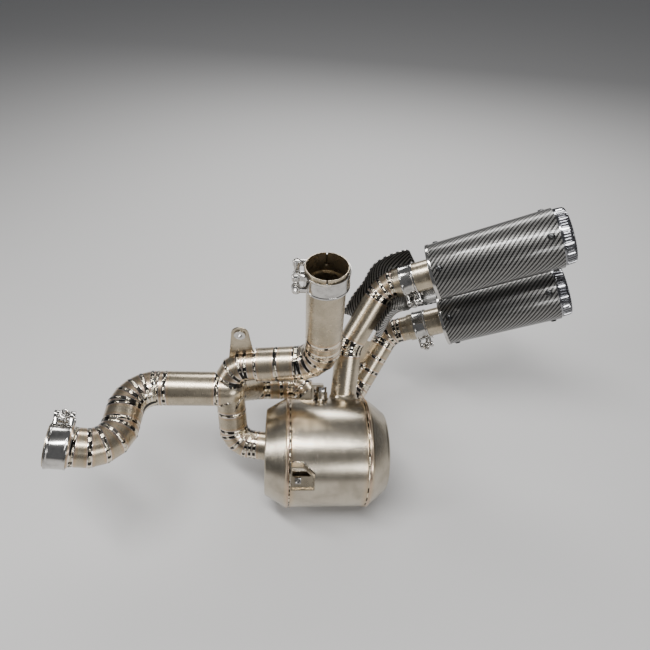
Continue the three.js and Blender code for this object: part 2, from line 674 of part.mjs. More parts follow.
function silencer(prefix, flange, boltSide) {
  const group = groupAt(frameAt(flange, SILENCER_AXIS, boltSide));
  const socket = solid(turnedRing(STUB_R, STUB_BORE, -STUB_LENGTH, -GAP));
  const slit = solid(block(point(-40, -1, -STUB_LENGTH - 1), point(0, 1, -30)));
  add(`${prefix}_socket`, geometryOf(socket.subtract(slit)), TITANIUM, group);

  const capProfile = [
    [STUB_BORE, 0],
    [SLEEVE_R + 1.2, 0],
    [SLEEVE_R + 1.2, 5],
    [SLEEVE_R + GAP, 5],
    [SLEEVE_R + GAP, 2],
    [STUB_BORE, 2],
    [STUB_BORE, 0],
  ];
  add(`${prefix}_inlet_cap`, turned(capProfile, ROUND), POLISHED, group);

  const sleeve = turnedRing(SLEEVE_R, SLEEVE_R - SLEEVE_WALL, 2 + GAP, SLEEVE_END - GAP, ROUND);
  add(`${prefix}_sleeve`, sleeve, CARBON, group);

  const core = solid(turnedRing(CORE_R, CORE_R - 1.2, 2 + GAP, SLEEVE_END - 6, 12));
  add(`${prefix}_core`, geometryOf(perforate(core, CORE_R, 2, 60, 80)), CHAMBER_TITANIUM, group);

  const packing = turnedRing(SLEEVE_R - SLEEVE_WALL - 2, CORE_R + 1, 2 + GAP, SLEEVE_END - 6, 12);
  add(`${prefix}_packing`, packing, PACKING, group);

  const ribs = 14;
  const capRing = [
    [CORE_R + GAP, SLEEVE_END - 5],
    [OUTLET_R, SLEEVE_END - 5],
    [OUTLET_R, SLEEVE_END + 3],
    [OUTLET_R - 1, OUTLET_END - 4],
    [OUTLET_R - 5, OUTLET_END],
    [CORE_R + 5, OUTLET_END],
    [CORE_R + GAP, OUTLET_END - 9],
    [CORE_R + GAP, SLEEVE_END - 5],
  ];
  let cap = solid(turned(capRing, ribs * 2));
  for (let i = 0; i < ribs; i += 1) {
    const low = point(OUTLET_R - 3.5, -3, SLEEVE_END + 3);
    const groove = block(low, point(OUTLET_R + 3, 3, OUTLET_END + 2));
    const turn = new THREE.Matrix4().makeRotationZ((2 * Math.PI * i) / ribs);
    cap = cap.subtract(solid(groove, turn));
  }
  add(`${prefix}_outlet_cap`, geometryOf(cap), DARK_CHROME, group);

  const clampPlace = new THREE.Matrix4().makeRotationX(Math.PI).setPosition(0, 0, -CLAMP_CENTRE);
  tBoltClamp(prefix, STUB_R, 24, clampPlace, group);
}

// Directions to the near and far sides of the system, both half way up.
const NEAR_TOP = point(0, -Math.SQRT1_2, Math.SQRT1_2);
const FAR_TOP = point(0, Math.SQRT1_2, Math.SQRT1_2);

// The way from a tube to its clamp's bolt, by its turn from NEAR_TOP towards FAR_TOP.
function boltDirection(degrees) {
  const angle = THREE.MathUtils.degToRad(degrees);
  return NEAR_TOP.clone().multiplyScalar(Math.cos(angle)).addScaledVector(FAR_TOP, Math.sin(angle));
}

const boltBelow = boltDirection(-120);
const boltAbove = boltDirection(120);
silencer("upper", UPPER_FLANGE, boltBelow);
silencer("lower", LOWER_FLANGE, boltBelow);

const frontClampPlace = FRONT_MOUTH.clone().addScaledVector(frontInward, 16);
const rearClampPlace = REAR_MOUTH.clone().addScaledVector(rearInward, 19);
tBoltClamp("front", SOCKET_R, 28, frameAt(frontClampPlace, frontInward, boltAbove));
tBoltClamp("rear", SOCKET_R, 28, frameAt(rearClampPlace, rearInward.clone().negate(), point(-1, 0, 0)));

// ---- heat shield: a carbon trough round the far side of the upper link, with a tail that
// reaches back past the clamp

const SHIELD_WALL = 2;

// The link's centre line as one smooth curve.
const shieldSpine = new THREE.CatmullRomCurve3([
  UPPER_CORNER_1.clone().lerp(upperCorner2, 0.36),
  UPPER_CORNER_1.clone().lerp(upperCorner2, 0.7),
  upperCorner2.clone().addScaledVector(SILENCER_AXIS, 22),
  UPPER_FLANGE.clone().addScaledVector(SILENCER_AXIS, -8),
]);

const smooth = (from, to, t) => THREE.MathUtils.smoothstep(t, from, to);

function shieldPoint(u, v) {
  const centre = shieldSpine.getPointAt(u);
  const along = shieldSpine.getTangentAt(u);
  const near = NEAR_TOP.clone().addScaledVector(along, -NEAR_TOP.dot(along)).normalize();
  const below = along.clone().cross(near).normalize();
  const tail = smooth(0.4, 0.64, u);
  const radius = 38 + 11 * smooth(0.35, 0.6, u);
  const lowRim = THREE.MathUtils.lerp(45, 102, tail);
  const highRim = THREE.MathUtils.lerp(262, 168, smooth(0.82, 0.88, u));
  const angle = THREE.MathUtils.degToRad(THREE.MathUtils.lerp(highRim, lowRim, v));
  const outward = near.multiplyScalar(Math.cos(angle)).addScaledVector(below, Math.sin(angle));
  return { position: centre.addScaledVector(outward, radius), outward };
}

add("heat_shield", sheet(shieldPoint, 12, 9, SHIELD_WALL), CARBON);

export default exhaust;
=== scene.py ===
"""The looks of a motorcycle racing exhaust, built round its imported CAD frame.

Shapes are worked out in millimetres and become metres when a piece is made.
"""

import math

import bmesh
import bpy
from mathutils import Matrix, Vector


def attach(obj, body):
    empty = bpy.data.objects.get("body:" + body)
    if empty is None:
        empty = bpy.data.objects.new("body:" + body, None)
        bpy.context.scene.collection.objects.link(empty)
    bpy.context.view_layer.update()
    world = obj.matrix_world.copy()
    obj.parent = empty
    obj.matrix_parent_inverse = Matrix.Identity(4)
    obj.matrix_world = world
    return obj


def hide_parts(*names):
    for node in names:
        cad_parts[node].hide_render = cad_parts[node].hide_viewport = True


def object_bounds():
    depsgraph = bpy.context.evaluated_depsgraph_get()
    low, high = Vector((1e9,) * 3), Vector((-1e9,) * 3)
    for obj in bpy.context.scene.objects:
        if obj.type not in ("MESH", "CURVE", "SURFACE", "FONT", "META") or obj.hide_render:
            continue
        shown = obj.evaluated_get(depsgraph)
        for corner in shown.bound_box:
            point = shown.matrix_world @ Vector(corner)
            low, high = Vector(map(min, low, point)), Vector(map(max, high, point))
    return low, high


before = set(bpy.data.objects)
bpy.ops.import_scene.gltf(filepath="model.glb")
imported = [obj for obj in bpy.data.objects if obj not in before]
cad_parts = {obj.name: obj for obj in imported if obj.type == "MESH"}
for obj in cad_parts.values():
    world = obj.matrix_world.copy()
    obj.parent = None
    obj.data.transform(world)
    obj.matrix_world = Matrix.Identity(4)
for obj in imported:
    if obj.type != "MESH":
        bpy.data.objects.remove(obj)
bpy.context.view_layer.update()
MM = 0.001

# ---------------------------------------------------------------- driving dimensions

HEADER_R = 28.5
SOCKET_R = 30.5
FEED_R = 24
MERGE_ELBOW_R = 25
LINK_R = 23
WALL = 1.2
SOCKET_LENGTH = 36

FRONT_MOUTH = Vector((-265, -163, -37))
FRONT_CORNER_1 = Vector((-183, -151, -70))
FRONT_CORNER_2 = Vector((-183, -42, -61))
FRONT_END = Vector((-48, -30, -79))
REAR_MOUTH = Vector((137, -16, 171))
REAR_CORNER = Vector((130, -10, -33))
REAR_CROSS_END = Vector((21, -8, -43))
MERGE_CORNER = Vector((-22, -9, -47))
MERGE = Vector((-27, -28, -82))
FEED_CORNER = Vector((-25, -72, -176))
FEED_ENTRY = Vector((30, -80, -178))
BACK_CORNER_1 = Vector((6, 36, -158))
BACK_CORNER_2 = Vector((100, 41, -163))
BACK_ENTRY = BACK_CORNER_2 + Vector((4, -60, -11))

CHAMBER = Vector((134, -84, -187))
CHAMBER_AXIS = Vector((0.995, 0.05, -0.08)).normalized()
BARREL_R = 92
BARREL_HALF = 66
SHELL = 1.5
LIP = 1.2
FRONT_CAP = (38, 74)
REAR_CAP = (36, 69)

SILENCER_AXIS = Vector((0.91, -0.07, 0.41)).normalized()
UPPER_FLANGE = Vector((314, 103, 63))
LOWER_FLANGE = Vector((354, 116, -58))
UPPER_BASE = Vector((166, -5, -136))
UPPER_CORNER_1 = Vector((176, 52, -62))
UPPER_CORNER_2 = UPPER_FLANGE - SILENCER_AXIS * 85
LOWER_BASE = Vector((166, 0, -188))
LOWER_CORNER_1 = Vector((192, 50, -190))
LOWER_CORNER_2 = LOWER_FLANGE - SILENCER_AXIS * 106
LINK_STOP = 20

FRONT_BEND_R = 46
REAR_BEND_R = 50
MERGE_BEND_R = 33
FEED_BEND_R = 36
BACK_BEND_R = 34
LINK_BEND_R = 55

SLEEVE_R = 47.5
SLEEVE_END = 195
OUTLET_END = 213
OUTLET_R = 45
STUB_R = 25.2
STUB_BORE = 23.7
STUB_LENGTH = 64
CORE_R = 21
CLAMP_CENTRE = 41

BAND = 1.6
TRUNNION_R = 4.5
LOOP_R = 6
BOLT_R = 3
BOLT_LIFT = 8.5
LOOP_OFFSET = 16
LEG_SLOT = 14
HEADER_BAND_WIDTH = 28
SILENCER_BAND_WIDTH = 24
HANGER_HOLE = Vector((0, 0, 25))

# Directions to the near and far sides of the system, both half way up.
NEAR_TOP = Vector((0, -math.sqrt(0.5), math.sqrt(0.5)))
FAR_TOP = Vector((0, math.sqrt(0.5), math.sqrt(0.5)))

# ---------------------------------------------------------------- materials


class Shader:
    """A node material with short calls for the nodes that these materials use."""

    def __init__(self, name, metallic, roughness, **sockets):
        self.material = bpy.data.materials.new(name)
        self.material.use_nodes = True
        self.tree = self.material.node_tree
        self.surface = self.tree.nodes["Principled BSDF"]
        self.surface.inputs["Metallic"].default_value = metallic
        self.surface.inputs["Roughness"].default_value = roughness
        for socket, value in sockets.items():
            self.surface.inputs[socket.replace("_", " ")].default_value = value

    def put(self, socket, value):
        if isinstance(value, bpy.types.NodeSocket):
            self.tree.links.new(value, socket)
        elif isinstance(value, tuple) and len(value) == 3 and socket.type == "RGBA":
            socket.default_value = (*value, 1)
        else:
            socket.default_value = value

    def set(self, name, value):
        self.put(self.surface.inputs[name], value)

    def node(self, kind, **inputs):
        node = self.tree.nodes.new("ShaderNode" + kind)
        for name, value in inputs.items():
            self.put(node.inputs[name.replace("_", " ")], value)
        return node

    def math(self, operation, a, b=0.0, c=0.0):
        node = self.tree.nodes.new("ShaderNodeMath")
        node.operation = operation
        for socket, value in zip(node.inputs, (a, b, c)):
            self.put(socket, value)
        return node.outputs[0]

    def mix(self, factor, a, b):
        node = self.tree.nodes.new("ShaderNodeMix")
        node.data_type = "RGBA"
        self.put(node.inputs["Factor"], factor)
        self.put(node.inputs[6], a)
        self.put(node.inputs[7], b)
        return node.outputs[2]

    def ramp(self, value, low, high, out_low=0.0, out_high=1.0, smooth=True):
        node = self.tree.nodes.new("ShaderNodeMapRange")
        node.interpolation_type = "SMOOTHSTEP" if smooth else "LINEAR"
        for socket, item in zip(node.inputs, (value, low, high, out_low, out_high)):
            self.put(socket, item)
        return node.outputs[0]

    def uv(self):
        node = self.tree.nodes.new("ShaderNodeSeparateXYZ")
        coordinates = self.tree.nodes.new("ShaderNodeTexCoord")
        self.put(node.inputs[0], coordinates.outputs["UV"])
        return node.outputs[0], node.outputs[1]

    def place(self):
        return self.tree.nodes.new("ShaderNodeTexCoord").outputs["Object"]

    def vector(self, x, y, z=0.0):
        node = self.tree.nodes.new("ShaderNodeCombineXYZ")
        for socket, value in zip(node.inputs, (x, y, z)):
            self.put(socket, value)
        return node.outputs[0]

    def noise(self, vector, scale, detail=3.0, roughness=0.5):
        node = self.node("TexNoise", Vector=vector, Scale=scale, Detail=detail, Roughness=roughness)
        return node.outputs["Fac"]

    def bump(self, height, strength, distance):
        node = self.node("Bump", Height=height, Strength=strength, Distance=distance)
        self.set("Normal", node.outputs[0])

    def heat(self):
        node = self.tree.nodes.new("ShaderNodeAttribute")
        node.attribute_name = "weld_near"
        return node.outputs["Fac"]


def titanium(name, light, dark, roughness, grain_around=0.04, grain_along=2.5):
    """Satin titanium with a fine grain round the piece, real heat tint near its welds, and weld bands
    painted with dark reflection and bright highlight.
    """
    s = Shader(name, 1.0, roughness)
    u, v = s.uv()
    heat = s.heat()
    grain_place = s.vector(s.math("MULTIPLY", u, grain_around), s.math("MULTIPLY", v, grain_along))
    grain = s.noise(grain_place, 1.0, 4.0)
    cloud = s.noise(s.place(), 28.0, 4.0, 0.6)
    scuff = s.noise(s.place(), 140.0, 2.0)
    body = s.mix(s.ramp(cloud, 0.35, 0.7), light, dark)
    body = s.mix(s.math("MULTIPLY", s.ramp(grain, 0.35, 0.7), 0.35), body, dark)
    straw = s.ramp(heat, 0.05, 0.5)
    body = s.mix(s.math("MULTIPLY", straw, 0.55), body, (0.60, 0.43, 0.25))
    blush = s.math("MULTIPLY", s.ramp(heat, 0.50, 0.58), s.ramp(heat, 0.68, 0.60))
    body = s.mix(s.math("MULTIPLY", blush, 0.5), body, (0.62, 0.42, 0.40))
    # Weld band: near-black blocks are painted dark reflection and pale blocks are painted highlight,
    # alternating round the tube.
    reflection_block_place = s.vector(s.math("MULTIPLY", u, 0.13), s.math("MULTIPLY", v, 0.012))
    reflection_blocks = s.noise(reflection_block_place, 1.0, 0.6)
    ripple = s.math("SINE", s.math("MULTIPLY", u, 3.6))
    welded = s.mix(s.ramp(reflection_blocks, 0.47, 0.51), (0.03, 0.027, 0.024), (0.80, 0.71, 0.55))
    # A near-white line along both edges of the weld band: painted highlight.
    rim = s.math("MULTIPLY", s.ramp(heat, 0.66, 0.68), s.ramp(heat, 0.745, 0.725))
    welded = s.mix(rim, welded, (0.97, 0.93, 0.86))
    band = s.ramp(heat, 0.655, 0.675)
    s.set("Base Color", s.mix(band, body, welded))
    satin = s.math("ADD", roughness - 0.06, s.math("MULTIPLY", s.math("ADD", grain, scuff), 0.07))
    bare = s.math("SUBTRACT", 1.0, band)
    s.set("Roughness", s.math("ADD", s.math("MULTIPLY", satin, bare), s.math("MULTIPLY", band, 0.12)))
    fine = s.math("MULTIPLY", grain, bare)
    rippled = s.math("MULTIPLY", ripple, s.ramp(heat, 0.78, 0.86))
    s.bump(s.math("ADD", fine, rippled), 0.35, 0.00018)
    return s.material


def polished(name, light, dark, roughness, scratch=0.25, grime_and_reflection_scale=45.0, edge=0.4, spread=0.35):
    """Polished metal with faint swirls and patches of a second colour: a little dirt on most pieces, and
    painted dark reflection and painted highlight on the weld beads.
    """
    s = Shader(name, 1.0, roughness)
    place = s.place()
    swirl = s.noise(place, 900.0, 3.0, 0.7)
    cloud = s.noise(place, grime_and_reflection_scale, 5.0, 0.6)
    s.set("Base Color", s.mix(s.ramp(cloud, edge, edge + spread), light, dark))
    s.set("Roughness", s.math("ADD", roughness, s.math("MULTIPLY", s.math("SUBTRACT", cloud, 0.4), 0.18)))
    s.bump(swirl, scratch, 0.00006)
    return s.material


def carbon(name, tow=2.0, weft_low=0.14, weft_high=0.30):
    """Two-by-two twill under clear lacquer: the tows run along and round the piece."""
    s = Shader(name, 0.75, 0.33, Coat_Weight=0.45, Coat_Roughness=0.05)
    u, v = s.uv()
    x = s.math("DIVIDE", u, tow)
    y = s.math("DIVIDE", v, tow)
    cell = s.math("ADD", s.math("FLOOR", x), s.math("FLOOR", y))
    step = s.math("FLOORED_MODULO", cell, 4.0)
    over = s.math("LESS_THAN", step, 1.5)
    along = s.noise(s.vector(s.math("MULTIPLY", u, 9.0), s.math("MULTIPLY", v, 0.3)), 1.0, 2.0)
    around = s.noise(s.vector(s.math("MULTIPLY", u, 0.3), s.math("MULTIPLY", v, 9.0)), 1.0, 2.0)
    warp = s.mix(along, (0.006, 0.006, 0.006), (0.020, 0.019, 0.018))
    dim, bright = ((level, level * 0.97, level * 0.92) for level in (weft_low, weft_high))
    weft = s.mix(around, dim, bright)
    s.set("Base Color", s.mix(over, warp, weft))
    round_x = s.math("ABSOLUTE", s.math("SINE", s.math("MULTIPLY", x, math.pi)))
    round_y = s.math("ABSOLUTE", s.math("SINE", s.math("MULTIPLY", y, math.pi)))
    under = s.math("SUBTRACT", 1.0, over)
    crown = s.math("ADD", s.math("MULTIPLY", round_y, over), s.math("MULTIPLY", round_x, under))
    s.bump(crown, 0.25, 0.00015)
    return s.material


def glass_wool():
    """Packed glass wool: matt, pale and fibrous."""
    s = Shader("packing_wool", 0.0, 0.95)
    fibres = s.noise(s.place(), 700.0, 5.0, 0.8)
    clumps = s.noise(s.place(), 60.0, 3.0)
    s.set("Base Color", s.mix(s.math("MULTIPLY", fibres, clumps), (0.62, 0.54, 0.34), (0.90, 0.86, 0.70)))
    s.bump(s.math("ADD", fibres, clumps), 0.8, 0.0006)
    return s.material


TUBE = titanium("tube_titanium", (0.58, 0.50, 0.375), (0.42, 0.36, 0.27), 0.27)
SHEET = titanium("chamber_titanium", (0.58, 0.52, 0.42), (0.40, 0.355, 0.28), 0.24, 0.010, 2.6)
# Weld beads: the near-white patches are painted highlight and the near-black patches are painted dark
# reflection.
BEAD_METAL = polished("weld_bead", (0.88, 0.80, 0.67), (0.05, 0.04, 0.035), 0.10, 0.2, 110.0, 0.50, 0.04)
POLISHED = polished("polished_steel", (0.62, 0.60, 0.57), (0.36, 0.35, 0.33), 0.12, 0.3, 70.0)
FASTENER = polished("fastener_steel", (0.66, 0.64, 0.61), (0.38, 0.37, 0.35), 0.16)
DARK_CHROME = polished("dark_chrome", (0.33, 0.33, 0.34), (0.16, 0.16, 0.17), 0.10)
BLACK_SCREW = polished("black_screw", (0.09, 0.09, 0.09), (0.03, 0.03, 0.03), 0.22)
CARBON = carbon("carbon_fibre")
# A lighter copy of the carbon for the heat shield: its brighter weft is painted highlight, giving silver
# stripes on a shield whose top faces away from the light.
SHIELD_CARBON = carbon("shield_carbon", 1.9, 0.26, 0.55)
WOOL = glass_wool()

# ---------------------------------------------------------------- shapes


def frame_at(origin, axis, side):
    """A frame with +Z along axis and +X as near to side as a right angle allows."""
    z = Vector(axis).normalized()
    side = Vector(side)
    x = (side - z * side.dot(z)).normalized()
    turn = Matrix((x, z.cross(x), z)).transposed().to_4x4()
    return Matrix.Translation(origin) @ turn


class Shape:
    """Vertices in millimetres, with faces, their corners' UV in millimetres, and heat values."""

    def __init__(self):
        self.verts, self.faces, self.uvs, self.heat = [], [], [], []

    def grid(self, rows, us, vs, wrap=True, heat=None):
        base = len(self.verts)
        n = len(rows[0])
        for i, row in enumerate(rows):
            self.verts += row
            self.heat += heat[i] if heat else [0.0] * n
        for i in range(len(rows) - 1):
            for j in range(n if wrap else n - 1):
                k = (j + 1) % n
                here, there = base + i * n, base + (i + 1) * n
                self.faces.append((here + j, here + k, there + k, there + j))
                near = (us[j], vs[i][j]), (us[j + 1], vs[i][k])
                far = (us[j + 1], vs[i + 1][k]), (us[j], vs[i + 1][j])
                self.uvs.append(near + far)

    def polygon(self, points):
        base = len(self.verts)
        self.verts += points
        self.heat += [0.0] * len(points)
        self.faces.append(tuple(range(base, base + len(points))))
        self.uvs.append(tuple((p[0], p[1]) for p in points))

    def moved(self, matrix):
        self.verts = [matrix @ Vector(p) for p in self.verts]
        return self

    def add(self, other):
        base = len(self.verts)
        self.verts += other.verts
        self.heat += other.heat
        self.faces += [tuple(base + i for i in face) for face in other.faces]
        self.uvs += other.uvs
        return self


def make(name, shape, material, body="root", slot="tube_titanium", replaces=(), sharp=32, cutters=()):
    """A piece from a shape, smooth except at sharp edges, that rides on a body."""
    mesh = bpy.data.meshes.new(name)
    mesh.from_pydata([Vector(p) * MM for p in shape.verts], [], shape.faces)
    layer = mesh.uv_layers.new(name="UVMap")
    layer.data.foreach_set("uv", [c for face in shape.uvs for corner in face for c in corner])
    mesh.attributes.new("weld_near", "FLOAT", "POINT").data.foreach_set("value", shape.heat)
    bm = bmesh.new()
    bm.from_mesh(mesh)
    bmesh.ops.remove_doubles(bm, verts=bm.verts, dist=2e-6)
    bmesh.ops.dissolve_degenerate(bm, dist=1e-6, edges=bm.edges)
    bmesh.ops.recalc_face_normals(bm, faces=bm.faces)
    bm.to_mesh(mesh)
    bm.free()
    piece = bpy.data.objects.new(name, mesh)
    bpy.context.collection.objects.link(piece)
    for cutter in cutters:
        cut(piece, cutter)
    mesh = piece.data
    mesh.polygons.foreach_set("use_smooth", [True] * len(mesh.polygons))
    mesh.set_sharp_from_angle(angle=math.radians(sharp))
    mesh.materials.clear()
    mesh.materials.append(material)
    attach(piece, body)
    if replaces:
        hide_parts(*replaces)
    return piece


def cut(piece, cutter):
    """Takes a closed shape out of a piece."""
    mesh = bpy.data.meshes.new("cutter")
    mesh.from_pydata([Vector(p) * MM for p in cutter.verts], [], cutter.faces)
    bm = bmesh.new()
    bm.from_mesh(mesh)
    bmesh.ops.remove_doubles(bm, verts=bm.verts, dist=2e-6)
    bmesh.ops.recalc_face_normals(bm, faces=bm.faces)
    bm.to_mesh(mesh)
    bm.free()
    tool = bpy.data.objects.new("cutter", mesh)
    bpy.context.collection.objects.link(tool)
    modifier = piece.modifiers.new("cut", "BOOLEAN")
    modifier.operation = "DIFFERENCE"
    modifier.solver = "EXACT"
    modifier.object = tool
    graph = bpy.context.evaluated_depsgraph_get()
    result = bpy.data.meshes.new_from_object(piece.evaluated_get(graph))
    piece.modifiers.clear()
    piece.data = result
    bpy.data.objects.remove(tool)


def rounded(profile, radius, steps=3):
    """A closed outline of (a, b) pairs with its corners rounded."""
    out = []
    n = len(profile)
    for i in range(n):
        before, here, after = (Vector(profile[k % n]) for k in (i - 1, i, i + 1))
        reach = min(radius, (before - here).length * 0.45, (after - here).length * 0.45)
        start = here + (before - here).normalized() * reach
        end = here + (after - here).normalized() * reach
        for k in range(steps + 1):
            t = k / steps
            out.append(tuple(start * (1 - t) ** 2 + here * (2 * t * (1 - t)) + end * t**2))
    return out


def lathe(profile, sides=96, start=0.0, sweep=2 * math.pi, heat=None, carve=None):
    """A closed profile of (radius, height) pairs turned about +Z, closed off if it stops short."""
    whole = sweep > 6.28
    shape = Shape()
    loop = list(profile) + [profile[0]]
    run = [0.0]
    for a, b in zip(loop, loop[1:]):
        run.append(run[-1] + math.dist(a, b))
    widest = max(r for r, _ in profile)
    count = sides if whole else sides + 1
    angles = [start + sweep * j / sides for j in range(count)]
    rows, heats = [], []
    for r, z in loop:
        row = []
        for angle in angles:
            radius = r - (carve(angle, r, z) if carve else 0)
            row.append(Vector((radius * math.cos(angle), radius * math.sin(angle), z)))
        rows.append(row)
        heats.append([heat(z) if heat else 0.0] * count)
    us = [widest * sweep * j / sides for j in range(count + 1)]
    shape.grid(rows, us, [[v] * count for v in run], wrap=whole, heat=heats)
    if not whole:
        for j in (0, count - 1):
            shape.polygon([row[j].copy() for row in rows[:-1]])
    return shape


def ring(outer, inner, low, high, edge=0.4, sides=96, **more):
    return lathe(rounded([(inner, low), (outer, low), (outer, high), (inner, high)], edge), sides, **more)


def rod(radius, low, high, edge=0.4, sides=32):
    corners = rounded([(0.01, low), (radius, low), (radius, high), (0.01, high)], edge)
    return lathe([(0, low), *corners[4:12], (0, high)], sides)


def extruded(outline, low, high, holes=(), bevel=0.4):
    """A flat outline in X and Y, with round or other holes, made into a plate with eased edges."""
    bm = bmesh.new()
    for loop in [outline, *holes]:
        corners = [bm.verts.new((x, y, low)) for x, y in loop]
        for a, b in zip(corners, corners[1:] + corners[:1]):
            bm.edges.new((a, b))
    bmesh.ops.triangle_fill(bm, use_beauty=True, use_dissolve=False, edges=bm.edges)
    bmesh.ops.dissolve_limit(bm, angle_limit=0.01, verts=bm.verts, edges=bm.edges)
    result = bmesh.ops.extrude_face_region(bm, geom=bm.faces[:])
    lifted = [item for item in result["geom"] if isinstance(item, bmesh.types.BMVert)]
    bmesh.ops.translate(bm, verts=lifted, vec=(0, 0, high - low))
    bmesh.ops.recalc_face_normals(bm, faces=bm.faces)
    rims = [e for e in bm.edges if len(e.link_faces) == 2 and e.calc_face_angle(0) > math.radians(50)]
    bmesh.ops.bevel(bm, geom=rims, offset=bevel, segments=2, profile=0.5, affect="EDGES")
    bmesh.ops.triangulate(bm, faces=[f for f in bm.faces if len(f.verts) > 4])
    shape = Shape()
    bm.verts.index_update()
    shape.verts = [v.co.copy() for v in bm.verts]
    shape.heat = [0.0] * len(shape.verts)
    for face in bm.faces:
        shape.faces.append(tuple(v.index for v in face.verts))
        shape.uvs.append(tuple((v.co.x + v.co.z, v.co.y) for v in face.verts))
    bm.free()
    return shape


def arc(cx, cy, radius, first, last, steps):
    angles = [math.radians(first + (last - first) * k / steps) for k in range(steps + 1)]
    return [(cx + radius * math.cos(a), cy + radius * math.sin(a)) for a in angles]


def circle(cx, cy, radius, steps=32):
    return arc(cx, cy, radius, 0, 360, steps)[:-1]


def pie_cuts(before, corner, after, radius, cuts):
    """A corner of a pipe: where its bend starts, its cuts, and where it ends."""
    arriving = (corner - before).normalized()
    leaving = (after - corner).normalized()
    turn = arriving.angle(leaving)
    reach = radius * math.tan(turn / 2)
    start = corner - arriving * reach
    inward = (leaving - arriving * leaving.dot(arriving)).normalized()
    centre = start + inward * radius
    outer = radius / math.cos(turn / (2 * cuts))
    middle = []
    for i in range(cuts):
        angle = turn * (i + 0.5) / cuts
        middle.append(centre - inward * (outer * math.cos(angle)) + arriving * (outer * math.sin(angle)))
    return [start, *middle, corner + leaving * reach]


BEAD_ROWS = ((0, 0.5), (0.5, 0.46), (1.0, 0.36), (1.6, 0.18), (2.2, 0.04), (3.1, 0), (3.9, 0), (10, 0))


def mitre_rings(points, radius, sides, side):
    """The section of a mitred tube at each of its points."""
    runs = [(b - a).normalized() for a, b in zip(points, points[1:])]
    start = frame_at(points[0], runs[0], side)
    angles = [2 * math.pi * k / sides for k in range(sides)]
    row = [start @ Vector((radius * math.cos(a), radius * math.sin(a), 0)) for a in angles]
    rings = [row]
    for i, run in enumerate(runs):
        normal = run + (runs[i + 1] if i + 1 < len(runs) else run)
        row = [p + run * ((points[i + 1] - p).dot(normal) / run.dot(normal)) for p in row]
        rings.append(row)
    return rings, runs


def tube(line, radius, wall=WALL, first=True, last=True, sides=72, side=(0, 0.3, 1)):
    """A tube welded from straight pieces, with a weld bead at every joint of its line."""
    points = [Vector(p) for p in line]
    rings, runs = mitre_rings(points, radius, sides, side)
    shape = Shape()
    us = [2 * math.pi * radius * k / sides for k in range(sides + 1)]
    run_out = [0.0] * sides
    rows, vs, heats = [], [], []
    for i, run in enumerate(runs):
        low_weld = i > 0 or first
        high_weld = i < len(runs) - 1 or last
        lengths = [(b - a).length for a, b in zip(rings[i], rings[i + 1])]
        stations = [("low", s, h) for s, h in BEAD_ROWS] if low_weld else [("low", 0, 0)]
        stations += [("high", s, h) for s, h in reversed(BEAD_ROWS)] if high_weld else [("high", 0, 0)]
        for end, s, h in stations:
            row, v_row, heat_row = [], [], []
            for k in range(sides):
                t = s * min(1.0, 0.48 * lengths[k] / 10)
                t = lengths[k] - t if end == "high" else t
                p = rings[i][k] + run * t
                axis = points[i] + run * (p - points[i]).dot(run)
                row.append(p + (p - axis).normalized() * h)
                v_row.append(run_out[k] + t)
                # Nearness to a weld: within about 3.3 mm it carries the weld band's painted reflection and
                # painted highlight, and further out real heat tint.
                near = [t] * low_weld + [lengths[k] - t] * high_weld + [99.0]
                heat_row.append(max(0.0, 1 - min(near) / 10))
            rows.append(row)
            vs.append(v_row)
            heats.append(heat_row)
        run_out = [a + b for a, b in zip(run_out, lengths)]
    shape.grid(rows, us, vs, heat=heats)
    inner, _ = mitre_rings(points, radius - wall, sides, side)
    shape.grid(inner, us, [[40.0 * i] * sides for i in range(len(inner))])
    shape.grid([rows[0], inner[0]], us, [[0] * sides, [1] * sides])
    shape.grid([rows[-1], inner[-1]], us, [[0] * sides, [1] * sides])
    return shape


def bead(points, radius, up, sides=8):
    """A rippled weld bead along a closed loop of points."""
    n = len(points)
    rows = []
    for i, p in enumerate(points):
        along = (points[(i + 1) % n] - points[i - 1]).normalized()
        out = (up - along * up.dot(along)).normalized()
        across = along.cross(out)
        size = radius * (1 + 0.13 * math.sin(i * math.pi / 2))
        angles = [2 * math.pi * k / sides for k in range(sides)]
        rows.append([p + (out * math.cos(a) + across * math.sin(a)) * size for a in angles])
    rows.append([p.copy() for p in rows[0]])
    shape = Shape()
    shape.grid(rows, [radius * 0.8 * k for k in range(sides + 1)], [[1.3 * i] * sides for i in range(n + 1)])
    return shape


def into_cylinder(p, d, base, axis, length, radius):
    """How far p is, along d, from a cylinder's side, or None if it misses."""
    flat_d = d - axis * d.dot(axis)
    w = p - base
    flat_w = w - axis * w.dot(axis)
    a, b, c = flat_d.dot(flat_d), 2 * flat_d.dot(flat_w), flat_w.dot(flat_w) - radius**2
    root = b * b - 4 * a * c
    if a < 1e-9 or root < 0:
        return None
    t = (-b - math.sqrt(root)) / (2 * a)
    height = (w + d * t).dot(axis)
    return t if t > 0 and -1 <= height <= length else None


def saddle(start, towards, radius, cylinders, sides=112, side=(0, 0.3, 1)):
    """The loop where a tube from start meets the nearest of some cylinders."""
    run = (towards - start).normalized()
    place = frame_at(start, run, side)
    loop = []
    for k in range(sides):
        a = 2 * math.pi * k / sides
        p = place @ Vector((radius * math.cos(a), radius * math.sin(a), 0))
        hits = [into_cylinder(p, run, *c) for c in cylinders]
        hits = [t for t in hits if t is not None]
        if hits:
            loop.append(p + run * min(hits))
    return loop


# ---------------------------------------------------------------- headers and collector


